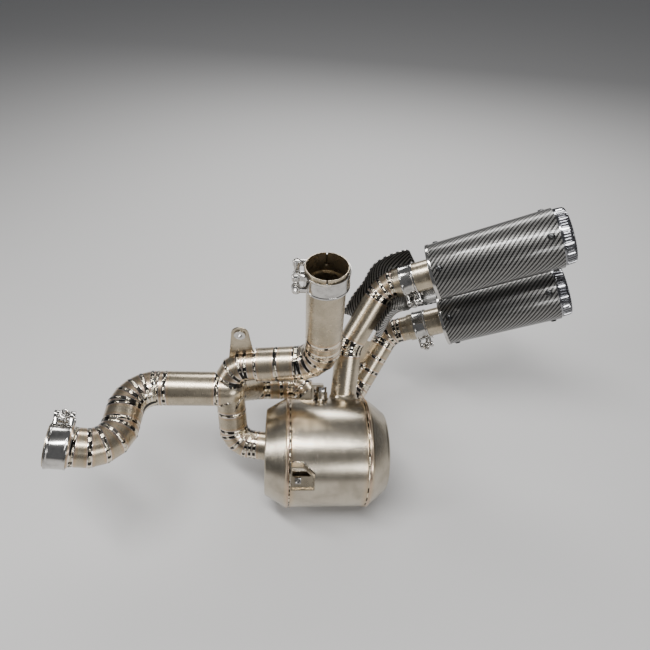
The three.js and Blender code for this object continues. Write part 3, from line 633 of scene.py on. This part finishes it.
def socket(name, mouth, inward, node, weld):
    """A belled tube end with a rolled mouth and two slits that end in round holes."""
    place = frame_at(mouth, inward, (0, -1, 0))
    neck = SOCKET_LENGTH - 5
    profile = [
        (SOCKET_R - 1.5, 0),
        (SOCKET_R, 0),
        (SOCKET_R, neck),
        (HEADER_R, SOCKET_LENGTH),
        (HEADER_R - 1.5, SOCKET_LENGTH),
        (SOCKET_R - 1.5, neck),
    ]
    body = lathe(rounded(profile, 0.6), 128, heat=lambda z: weld * max(0.0, 1 - (SOCKET_LENGTH - z) / 10))
    cutters = []
    for turn in (0, math.pi):
        slit = extruded([(20, -1.1), (40, -1.1), (40, 1.1), (20, 1.1)], -3, 22, bevel=0.01)
        across = Matrix.Translation((0, 0, 22)) @ Matrix.Rotation(math.pi / 2, 4, "Y")
        hole = rod(2.6, 20, 40, 0.01).moved(across)
        for tool in (slit, hole):
            cutters.append(tool.moved(place @ Matrix.Rotation(turn, 4, "Z")))
    make(name, body.moved(place), TUBE, replaces=[node], cutters=cutters)


front_in = (FRONT_CORNER_1 - FRONT_MOUTH).normalized()
rear_in = (REAR_CORNER - REAR_MOUTH).normalized()
front_lower = pie_cuts(FRONT_MOUTH, FRONT_CORNER_1, FRONT_CORNER_2, FRONT_BEND_R, 4)
front_upper = pie_cuts(FRONT_CORNER_1, FRONT_CORNER_2, FRONT_END, FRONT_BEND_R, 5)
rear_elbow = pie_cuts(REAR_MOUTH, REAR_CORNER, REAR_CROSS_END, REAR_BEND_R, 4)
merge_elbow = pie_cuts(REAR_CROSS_END, MERGE_CORNER, MERGE, MERGE_BEND_R, 3)
feed_elbow = pie_cuts(MERGE, FEED_CORNER, FEED_ENTRY, FEED_BEND_R, 3)
back_first = pie_cuts(MERGE, BACK_CORNER_1, BACK_CORNER_2, BACK_BEND_R, 2)
back_second = pie_cuts(BACK_CORNER_1, BACK_CORNER_2, BACK_ENTRY, BACK_BEND_R, 3)
upper_first = pie_cuts(UPPER_BASE, UPPER_CORNER_1, UPPER_CORNER_2, LINK_BEND_R, 3)
upper_second = pie_cuts(UPPER_CORNER_1, UPPER_CORNER_2, UPPER_FLANGE, LINK_BEND_R, 3)
lower_first = pie_cuts(LOWER_BASE, LOWER_CORNER_1, LOWER_CORNER_2, LINK_BEND_R, 3)
lower_second = pie_cuts(LOWER_CORNER_1, LOWER_CORNER_2, LOWER_FLANGE, LINK_BEND_R, 3)
down_stub = MERGE.lerp(FEED_CORNER, 40 / (MERGE - FEED_CORNER).length)

socket("front_socket_tube", FRONT_MOUTH, front_in, "front_socket", 1)
socket("rear_socket_tube", REAR_MOUTH, rear_in, "rear_socket", 0)


def pipe(node, line, radius, **more):
    """A welded tube in place of its CAD node."""
    make(node + "_tube", tube(line, radius, **more), TUBE, replaces=[node])


pipe("front_bend_lower", [FRONT_MOUTH + front_in * SOCKET_LENGTH, *front_lower[1:]], HEADER_R)
pipe("front_bend_upper", [front_lower[-1], *front_upper], HEADER_R)
pipe("front_straight", [front_upper[-1], front_upper[-1].lerp(FRONT_END, 0.12), FRONT_END], HEADER_R)
down_start = REAR_MOUTH + rear_in * SOCKET_LENGTH
down_line = [down_start, down_start.lerp(rear_elbow[0], 0.84), rear_elbow[0]]
pipe("rear_down_tube", down_line, HEADER_R, first=False)
pipe("rear_elbow", rear_elbow, HEADER_R)
cross = rear_elbow[-1]
pipe("rear_cross_tube", [cross, cross.lerp(REAR_CROSS_END, 0.48), REAR_CROSS_END], HEADER_R)
limb_front = (FRONT_END, (MERGE - FRONT_END).normalized(), (MERGE - FRONT_END).length, HEADER_R)
front_axis = (FRONT_END - FRONT_CORNER_2).normalized()
limb_straight = (FRONT_CORNER_2, front_axis, (FRONT_END - FRONT_CORNER_2).length, HEADER_R)
limb_down = (MERGE, (FEED_CORNER - MERGE).normalized(), 60, FEED_R)
limb_back = (MERGE, (BACK_CORNER_1 - MERGE).normalized(), 90, FEED_R)
pipe("merge_elbow", [REAR_CROSS_END, *merge_elbow, MERGE], MERGE_ELBOW_R, last=False)

hub = tube([FRONT_END, MERGE], HEADER_R, last=False)
ball = lathe([(0, -28), (14, -24.4), (24.4, -14), (28.2, 0), (24.4, 14), (14, 24.4), (0, 28)], 48)
hub.add(ball.moved(Matrix.Translation(MERGE)))
hub.add(tube([MERGE, down_stub], FEED_R, first=False))
hub.add(tube([MERGE, back_first[0]], FEED_R, first=False))
make("collector_hub", hub, TUBE, replaces=["collector"])
limbs = [limb_front, limb_straight, limb_down, limb_back]
seams = bead(saddle(merge_elbow[-1], MERGE, MERGE_ELBOW_R, limbs), 2.3, NEAR_TOP)
seams.add(bead(saddle(down_stub, MERGE, FEED_R, [limb_front, limb_back]), 2.0, NEAR_TOP))
make("collector_welds", seams, BEAD_METAL, sharp=60)

feed_inside = FEED_ENTRY + Vector((12, -2, 0))
entry = feed_elbow[-1]
pipe("feed_pipe", [down_stub, *feed_elbow, entry.lerp(feed_inside, 0.22), feed_inside], FEED_R, last=False)
back_middle = back_first[-1].lerp(back_second[0], 0.6)
pipe("back_feed_pipe", [*back_first, back_middle, *back_second, BACK_ENTRY], FEED_R, last=False)
upper_inside = UPPER_BASE.lerp(UPPER_CORNER_1, -0.12)
lower_inside = LOWER_BASE.lerp(LOWER_CORNER_1, -0.12)
upper_line = [upper_inside, *upper_first, *upper_second, UPPER_FLANGE - SILENCER_AXIS * LINK_STOP]
pipe("upper_link", upper_line, LINK_R, first=False, last=False)
low_a, low_b = lower_first[-1], lower_second[0]
lower_line = [lower_inside, *lower_first, low_a.lerp(low_b, 0.33), low_a.lerp(low_b, 0.66), *lower_second]
pipe("lower_link", [*lower_line, LOWER_FLANGE - SILENCER_AXIS * LINK_STOP], LINK_R, first=False, last=False)
barrel_side = (CHAMBER - CHAMBER_AXIS * 110, CHAMBER_AXIS, 220, BARREL_R)
collars = bead(saddle(UPPER_CORNER_1, UPPER_BASE, LINK_R, [barrel_side]), 1.9, CHAMBER_AXIS)
collars.add(bead(saddle(LOWER_CORNER_1, LOWER_BASE, LINK_R, [barrel_side]), 1.9, CHAMBER_AXIS))
collars.add(bead(saddle(back_second[-1], BACK_ENTRY, FEED_R, [barrel_side]), 1.7, CHAMBER_AXIS))
make("chamber_pipe_welds", collars, BEAD_METAL, sharp=60)


def collar(start, base, radius, height):
    """A flared ring round a pipe where it stands on the barrel."""
    loops = []
    section = ((0, 0), (4.2, 0), (2.2, 2.2), (1.5, height - 0.8), (1.1, height), (0, height), (0, 0))
    for grow, lift in section:
        side = (*barrel_side[:3], BARREL_R + lift)
        loops.append(saddle(start, base, radius + grow, [side], 96))
    shape = Shape()
    us = [1.5 * k for k in range(97)]
    shape.grid(loops, us, [[2.0 * i] * 96 for i in range(len(loops))])
    return shape


footing = collar(UPPER_CORNER_1, UPPER_BASE, LINK_R, 7).add(collar(LOWER_CORNER_1, LOWER_BASE, LINK_R, 6))
make("link_base_collars", footing, TUBE)

# ---------------------------------------------------------------- chamber

chamber_place = frame_at(CHAMBER, CHAMBER_AXIS, (0, 0, 1))


# On the seam's weld line, 0.95 lays down the weld band's painted reflection and painted highlight; the lower
# values give real heat tint beside it.
def seam_heat(z):
    inward = BARREL_HALF - abs(z)
    return 0.95 if 1.6 < inward < 3.2 else 0.55 * max(0.0, 1 - inward / 16)


# A rolled seam: how far along the barrel, and how far above it.
seam = [
    (60.6, 0),
    (61.2, 0.9),
    (62.0, 1.15),
    (62.75, 0.5),
    (62.85, 0.1),
    (63.6, 0.0),
    (64.35, 0.1),
    (64.45, 0.5),
    (65.1, 1.2),
    (65.9, 1.2),
]
outside = [(BARREL_R + h, -z) for z, h in reversed(seam)]
outside += [(BARREL_R, k * 6.0 - 57) for k in range(20)]
outside += [(BARREL_R + h, z) for z, h in seam]
barrel = lathe([(BARREL_R - SHELL, -65.9), *outside, (BARREL_R - SHELL, 65.9)], 160, heat=seam_heat)
barrel.moved(chamber_place)


def chamber_skin(node, shape):
    """A shell of the chamber in place of its CAD node."""
    make(node + "_skin", shape, SHEET, slot="chamber_titanium", replaces=[node], sharp=50)


chamber_skin("chamber_barrel", barrel)


def end_cap(length, radius, crown):
    """A coned cap with a rounded shoulder, from its seam at z = 0 to its end."""
    outside = [(BARREL_R + LIP, 0), (BARREL_R + LIP, 2.6), (BARREL_R - 0.4, 3.6), (BARREL_R - 1, 5)]
    for k in range(1, 11):
        t = k / 10
        r = BARREL_R - 1 + (radius - BARREL_R + 1) * t + crown * math.sin(math.pi * t)
        outside.append((r, 5 + (length - 8) * t))
    outside += [(radius - 0.8, length - 1.4), (radius - 3, length), (radius - 8, length), (0, length)]
    inside = [(0, length - SHELL), (radius - SHELL - 2, length - SHELL), (BARREL_R - SHELL, 0)]
    return lathe(outside + inside, 160, heat=lambda z: 0.6 * max(0.0, 1 - z / 9))


flip = Matrix.Rotation(math.pi, 4, "X")
front_cap = end_cap(*FRONT_CAP, 0.0).moved(chamber_place @ Matrix.Translation((0, 0, -BARREL_HALF)) @ flip)
rear_cap = end_cap(*REAR_CAP, 0.8).moved(chamber_place @ Matrix.Translation((0, 0, BARREL_HALF)))
chamber_skin("chamber_front_cap", front_cap)
chamber_skin("chamber_rear_cap", rear_cap)

# ---------------------------------------------------------------- T-bolt clamps


def hexagon(radius):
    """Six corners, each at a radius from the middle."""
    return [(radius * math.cos(k * math.pi / 3), radius * math.sin(k * math.pi / 3)) for k in range(6)]


def hex_nut(size, height, bore):
    """A flanged nut."""
    nut = extruded(hexagon(size), 1.2, height, [circle(0, 0, bore, 24)], 0.7)
    return nut.add(ring(size + 0.7, bore, 0, 1.6, 0.5, 48))


def thread(radius, low, high):
    """A rod with a groove at every millimetre."""
    profile = []
    z = low
    while z < high - 0.5:
        profile += [(radius, z), (radius - 0.35, z + 0.5)]
        z += 1.0
    return lathe([(0, low), *profile, (radius - 0.8, high), (0, high)], 24)


def cross_bar(half, x, y):
    """The round bar that lies in a clamp's loop."""
    return rod(TRUNNION_R - 0.2, 1 - half, half - 1, 0.7).moved(Matrix.Translation((x, y, 0)))


def clamp(prefix, radius, width, place):
    """A T-bolt clamp in its own frame: +Z along the socket, +X to the bolt, +Y to the nut."""
    body = f"{prefix}_clamp"
    steel = "fastener_steel"
    inner = radius + 0.8
    outer = inner + BAND
    bolt_x = outer + BOLT_LIFT
    half = width / 2
    gap = math.asin(7 / inner)
    rim = outer + 0.5
    floor = outer - 0.4
    section = [
        (inner, -half),
        (rim, -half),
        (rim, 2.6 - half),
        (floor, 3.6 - half),
        (floor, half - 3.6),
        (rim, half - 2.6),
        (rim, half),
        (inner, half),
    ]
    band = lathe(rounded(section, 0.45), 120, gap, 2 * math.pi - 2 * gap)
    for side in (-1, 1):
        y = side * LOOP_OFFSET
        feet = [(math.sqrt((outer - 0.6) ** 2 - b * b), b) for b in (y + 3, y, y - 3)]
        outline = [*arc(bolt_x, y, LOOP_R, -150, 150, 28), *feet]
        hole = circle(bolt_x, y, TRUNNION_R + 0.1, 28)
        for low, high in ((-half, -LEG_SLOT / 2), (LEG_SLOT / 2, half)):
            band.add(extruded(outline, low, high, [hole], 0.5))
    band.moved(place)
    make(f"{prefix}_band_strap", band, POLISHED, body, "polished_steel", [f"{prefix}_band"])
    along_y = Matrix.Translation((bolt_x, 0, 0)) @ Matrix.Rotation(-math.pi / 2, 4, "X")
    bolt = cross_bar(half, bolt_x, -LOOP_OFFSET)
    bolt.add(rod(BOLT_R - 0.35, -LOOP_OFFSET, 8, 0.2, 24).moved(along_y))
    bolt.add(thread(BOLT_R, 7.5, LOOP_OFFSET + 16.8).moved(along_y))
    make(f"{prefix}_bolt", bolt.moved(place), FASTENER, body, steel, [f"{prefix}_t_bolt"])
    bar = cross_bar(half, bolt_x, LOOP_OFFSET).moved(place)
    make(f"{prefix}_cross_bar", bar, FASTENER, body, steel, [f"{prefix}_trunnion"])
    seat = Matrix.Translation((0, 0, LOOP_OFFSET + TRUNNION_R + 0.3))
    nut = hex_nut(5.8, 8, BOLT_R + 0.35).moved(place @ along_y @ seat)
    make(f"{prefix}_clamp_nut_hex", nut, FASTENER, f"{body}_nut", steel, [f"{prefix}_nut"])


BOLT_TILT = math.radians(120)
bolt_below = NEAR_TOP * math.cos(BOLT_TILT) - FAR_TOP * math.sin(BOLT_TILT)
bolt_above = NEAR_TOP * math.cos(BOLT_TILT) + FAR_TOP * math.sin(BOLT_TILT)
clamp("front", SOCKET_R, HEADER_BAND_WIDTH, frame_at(FRONT_MOUTH + front_in * 16, front_in, bolt_above))
clamp("rear", SOCKET_R, HEADER_BAND_WIDTH, frame_at(REAR_MOUTH + rear_in * 19, -rear_in, (-1, 0, 0)))

# ---------------------------------------------------------------- silencers

SCREW_ANGLE = 242
SCREW_RINGS = (16, 182)
SCREW_HEAD = (
    (0, 0),
    (5.2, 0),
    (5.2, 0.5),
    (4.6, 0.9),
    (4.2, 2.0),
    (3.2, 2.6),
    (1.9, 2.7),
    (1.7, 1.4),
    (0, 1.2),
)
RIBS = 60


def rib(angle, r, z):
    """Grooves across the outlet cap's rim."""
    if r < OUTLET_R - 4 or z < SLEEVE_END + 2.8 or z > OUTLET_END - 0.5:
        return 0.0
    phase = (angle * RIBS / (2 * math.pi)) % 1
    return 1.5 * (1 - min(1.0, abs(phase - 0.5) * 4))


def silencer(prefix, flange):
    """A sleeved silencer with its clamp: +Z along it, from its inlet cap to its outlet."""
    place = frame_at(flange, SILENCER_AXIS, bolt_below)
    body = f"{prefix}_silencer"

    def part(name, shape, material, slot, node, **more):
        make(f"{prefix}_{name}", shape.moved(place), material, body, slot, node, **more)

    stub = ring(STUB_R, STUB_BORE, -STUB_LENGTH, 0, heat=lambda z: 0.15 * max(0.0, 1 + z / 25))
    slit = extruded([(-40, -1.1), (0, -1.1), (0, 1.1), (-40, 1.1)], -STUB_LENGTH - 2, -30, bevel=0.01)
    slit.moved(place)
    part("socket_tube", stub, TUBE, "tube_titanium", [f"{prefix}_socket"], cutters=[slit])
    rim = SLEEVE_R + 1.2
    dish = [
        (STUB_BORE, 0),
        (STUB_R + 4, 0),
        (STUB_R + 7, 1.2),
        (SLEEVE_R - 6, 1.2),
        (SLEEVE_R - 4, 0),
        (rim, 0),
        (rim, 5),
        (SLEEVE_R + 0.1, 5),
        (SLEEVE_R + 0.1, 2.6),
        (STUB_BORE, 2.6),
    ]
    pressing = lathe(rounded(dish, 0.5), 128)
    part("inlet_cap_pressing", pressing, POLISHED, "polished_steel", [f"{prefix}_inlet_cap"])
    skin = ring(SLEEVE_R, SLEEVE_R - 2, 2.6, SLEEVE_END - 0.1, 0.5, 160)
    part("sleeve_skin", skin, CARBON, "carbon_fibre", [f"{prefix}_sleeve"])
    end = OUTLET_END
    cap = [(CORE_R + 0.3, SLEEVE_END - 5), (OUTLET_R, SLEEVE_END - 5), (OUTLET_R, SLEEVE_END + 2.4)]
    cap += [(OUTLET_R - 0.15 * k, SLEEVE_END + 3 + 1.5 * k) for k in range(8)]
    cap += [(OUTLET_R - 1.4, end - 3), (OUTLET_R - 2.6, end - 1), (OUTLET_R - 5, end)]
    cap += [(CORE_R + 7, end), (CORE_R + 4, end - 1.5), (CORE_R + 0.3, end - 9)]
    casting = lathe(cap, RIBS * 8, carve=rib)
    part("outlet_cap_casting", casting, DARK_CHROME, "dark_chrome", [f"{prefix}_outlet_cap"])
    liner = ring(CORE_R, CORE_R - 1.2, 2.3, SLEEVE_END - 6, 0.3, 64)
    part("core_liner", liner, SHEET, "chamber_titanium", [f"{prefix}_core"])
    screws = Shape()
    for along in SCREW_RINGS:
        for k in range(4):
            angle = math.radians(SCREW_ANGLE + 90 * k)
            out = Vector((math.cos(angle), math.sin(angle), 0))
            seat = frame_at(out * (SLEEVE_R - 0.4) + Vector((0, 0, along)), out, (0, 0, 1))
            screws.add(lathe(SCREW_HEAD, 32).moved(seat))
    part("sleeve_screws", screws, BLACK_SCREW, "fastener_steel", (), sharp=40)
    clamp_place = place @ Matrix.Translation((0, 0, -CLAMP_CENTRE)) @ flip
    clamp(prefix, STUB_R, SILENCER_BAND_WIDTH, clamp_place)


silencer("upper", UPPER_FLANGE)
silencer("lower", LOWER_FLANGE)

# ---------------------------------------------------------------- heat shield


def smooth(low, high, t):
    t = min(1.0, max(0.0, (t - low) / (high - low)))
    return t * t * (3 - 2 * t)


def between(a, b, low, high, t):
    """The point as far from a to b as t is from low to high."""
    return a + (b - a) * ((t - low) / (high - low))


def centripetal(controls, count):
    """Even steps along the smooth curve through some points."""
    ends = [controls[0] * 2 - controls[1], *controls, controls[-1] * 2 - controls[-2]]
    dense = []
    for i in range(len(controls) - 1):
        p = ends[i : i + 4]
        knots = [0.0]
        for a, b in zip(p, p[1:]):
            knots.append(knots[-1] + math.sqrt((b - a).length))
        for k in range(60):
            t = knots[1] + (knots[2] - knots[1]) * k / 60
            first = [between(p[j], p[j + 1], knots[j], knots[j + 1], t) for j in range(3)]
            second = [between(first[j], first[j + 1], knots[j], knots[j + 2], t) for j in range(2)]
            dense.append(between(*second, knots[1], knots[2], t))
    dense.append(controls[-1].copy())
    lengths = [0.0]
    for a, b in zip(dense, dense[1:]):
        lengths.append(lengths[-1] + (b - a).length)
    out = []
    j = 0
    for k in range(count + 1):
        goal = lengths[-1] * k / count
        while j < len(lengths) - 2 and lengths[j + 1] < goal:
            j += 1
        out.append(dense[j].lerp(dense[j + 1], (goal - lengths[j]) / (lengths[j + 1] - lengths[j])))
    return out


def heat_shield():
    """A trough round the far side of the upper link, with a tail past its clamp."""
    steps = 48
    spine = centripetal(
        [
            UPPER_CORNER_1.lerp(UPPER_CORNER_2, 0.36),
            UPPER_CORNER_1.lerp(UPPER_CORNER_2, 0.7),
            UPPER_CORNER_2 + SILENCER_AXIS * 22,
            UPPER_FLANGE - SILENCER_AXIS * 8,
        ],
        steps,
    )
    inner, outer, vs = [], [], []
    across = 36
    for i, centre in enumerate(spine):
        u = i / steps
        along = (spine[min(i + 1, steps)] - spine[max(i - 1, 0)]).normalized()
        near = (NEAR_TOP - along * NEAR_TOP.dot(along)).normalized()
        below = along.cross(near).normalized()
        radius = 38 + 11 * smooth(0.35, 0.6, u)
        low_rim = 45 + 57 * smooth(0.4, 0.64, u)
        high_rim = 262 - 94 * smooth(0.82, 0.88, u)
        rows = [[], []]
        for k in range(across + 1):
            angle = math.radians(high_rim + (low_rim - high_rim) * k / across)
            out = near * math.cos(angle) + below * math.sin(angle)
            rows[0].append(centre + out * radius)
            rows[1].append(centre + out * (radius + 2))
        inner.append(rows[0])
        outer.append(rows[1])
        vs.append([3.6 * i] * (across + 1))
    us = [3.9 * k for k in range(across + 2)]
    shape = Shape()
    shape.grid(inner, us, vs, wrap=False)
    shape.grid(outer, us, vs, wrap=False)
    for a, b in ((inner[0], outer[0]), (inner[-1], outer[-1])):
        shape.grid([a, b], us, [[0] * len(a), [2] * len(a)], wrap=False)
    for j in (0, across):
        a = [row[j] for row in inner]
        b = [row[j] for row in outer]
        shape.grid([a, b], [3.6 * k for k in range(len(a) + 1)], [[0] * len(a), [2] * len(a)], wrap=False)
    return shape


make("heat_shield_shell", heat_shield(), SHIELD_CARBON, slot="carbon_fibre", replaces=["heat_shield"])

# ---------------------------------------------------------------- fittings


def on_barrel(along, degrees):
    """A frame on the barrel's outside: +Z outward and +X along the barrel."""
    angle = math.radians(degrees)
    out = Vector((math.cos(angle), math.sin(angle), 0))
    return chamber_place @ frame_at(out * (BARREL_R + 0.3) + Vector((0, 0, along)), out, (0, 0, 1))


def surface_bead(outline, place, radius):
    """A weld bead round a closed outline, laid on the barrel at a frame of on_barrel."""
    loop = []
    for (ax, ay), (bx, by) in zip(outline, outline[1:] + outline[:1]):
        count = max(1, round(math.dist((ax, ay), (bx, by)) / 1.2))
        for k in range(count):
            x, y = ax + (bx - ax) * k / count, ay + (by - ay) * k / count
            loop.append(place @ Vector((x, y, math.sqrt(BARREL_R**2 - y * y) - BARREL_R)))
    return bead(loop, radius, place.to_3x3() @ Vector((0, 0, 1)))


pocket_place = on_barrel(-43, 55)
pocket_outline = [(-19, -17), (18, -17), (18, 4), (0, 22), (-19, 22)]
welds = surface_bead(pocket_outline, pocket_place, 1.1)
sensor_place = on_barrel(-9, -44)
welds.add(surface_bead(circle(0, 0, 11.4, 60), sensor_place, 1.2))
welds.add(surface_bead([(13.5, -14), (17.5, -14), (17.5, 14), (13.5, 14)], on_barrel(-40, -44), 1.1))
make("fitting_welds", welds, BEAD_METAL, sharp=60)

lifted = Matrix.Translation((-8, 0, 11.8))
nut = extruded([(-4.5, -5), (4.5, -5), (4.5, 5), (-4.5, 5)], 0, 5, [circle(0, 0, 2.7, 24)], 0.8)
nut.moved(pocket_place @ lifted)
make("pocket_nut", nut, FASTENER, slot="fastener_steel", replaces=["captive_nut"])
stud = thread(2.5, 4, 21).moved(pocket_place @ Matrix.Translation((-8, 0, 0)))
make("pocket_stud_thread", stud, FASTENER, slot="fastener_steel", replaces=["pocket_stud"])
boss = ring(11, 6.4, -1, 12, 0.9, 64)
make("sensor_boss_ring", boss.moved(sensor_place), TUBE, replaces=["sensor_boss"])
plug = extruded(hexagon(9.5), 12.3, 21.3, bevel=0.9).add(rod(6, 2, 12.8, 0.3))
plug.add(ring(8.6, 5.5, 12.05, 13.2, 0.4, 48))
make("sensor_plug_hex", plug.moved(sensor_place), FASTENER, slot="fastener_steel", replaces=["sensor_plug"])

hanger_outline = [(-29, -52), (19.5, -52), *arc(0, HANGER_HOLE.z, 14, 0, 180, 28)]
hanger = extruded(hanger_outline, 0, 3, [circle(0, HANGER_HOLE.z, 7, 40)], 0.7)
hanger.moved(Matrix.Rotation(math.pi / 2, 4, "X"))
make("hanger_plate_tongue", hanger, TUBE, replaces=["hanger_plate"])
bush_head = [(4, -6.3), (9, -6.3), (9, -3.3), (6.7, -3.3), (6.7, -0.3), (4, -0.3)]
bush = lathe(rounded(bush_head, 0.6), 64).moved(frame_at(HANGER_HOLE, (0, 1, 0), (1, 0, 0)))
make("hanger_bush_turned", bush, FASTENER, slot="fastener_steel", replaces=["hanger_bush"])

# ---------------------------------------------------------------- carried-over CAD nodes

for names, material in (
    (("link_web", "pocket_bracket", "mount_bracket"), TUBE),
    (("chamber_baffle", "chamber_inner_tube"), SHEET),
    (("upper_packing", "lower_packing"), WOOL),
):
    for name in names:
        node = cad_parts[name]
        node.data.materials.clear()
        node.data.materials.append(material)

# ---------------------------------------------------------------- floor, light and camera

FLOOR_SIZE = 6.0


def stage_floor():
    mesh = bpy.data.meshes.new("floor")
    size = FLOOR_SIZE
    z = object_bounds()[0].z - 0.001
    corners = [(-size, -size, z), (size, -size, z), (size, size, z), (-size, size, z)]
    mesh.from_pydata(corners, [], [(0, 1, 2, 3)])
    floor = bpy.data.objects.new("floor", mesh)
    bpy.context.collection.objects.link(floor)
    s = Shader("floor_paper", 0.0, 0.7)
    s.set("Base Color", (0.62, 0.61, 0.60))
    mesh.materials.append(s.material)


def area_light(name, place, target, size, power):
    data = bpy.data.lights.new(name, "AREA")
    data.shape = "RECTANGLE"
    data.size, data.size_y = size
    data.energy = power
    light = bpy.data.objects.new(name, data)
    light.location = place
    light.rotation_euler = (Vector(target) - Vector(place)).to_track_quat("-Z", "Y").to_euler()
    bpy.context.collection.objects.link(light)


stage_floor()
MIDDLE = (0.13, -0.03, -0.06)
area_light("key", (-0.1, -0.35, 1.7), MIDDLE, (1.5, 0.22), 36)
area_light("rim", (0.5, 1.4, 1.0), MIDDLE, (1.8, 0.4), 22)
area_light("side", (-1.5, -0.5, 0.9), MIDDLE, (0.35, 1.2), 12)
area_light("front", (0.9, -1.5, 0.5), MIDDLE, (0.9, 0.3), 8)

world = bpy.data.worlds.new("studio")
world.use_nodes = True
background = world.node_tree.nodes["Background"]
background.inputs["Color"].default_value = (0.80, 0.82, 0.86, 1)
background.inputs["Strength"].default_value = 0.17
bpy.context.scene.world = world

camera_data = bpy.data.cameras.new("camera")
camera_data.lens = 27
camera_data.sensor_width = 36
camera = bpy.data.objects.new("camera", camera_data)
camera.location = (0.134, -0.535, 0.578)
camera.rotation_euler = (math.radians(45), 0, 0)
bpy.context.collection.objects.link(camera)
bpy.context.scene.camera = camera
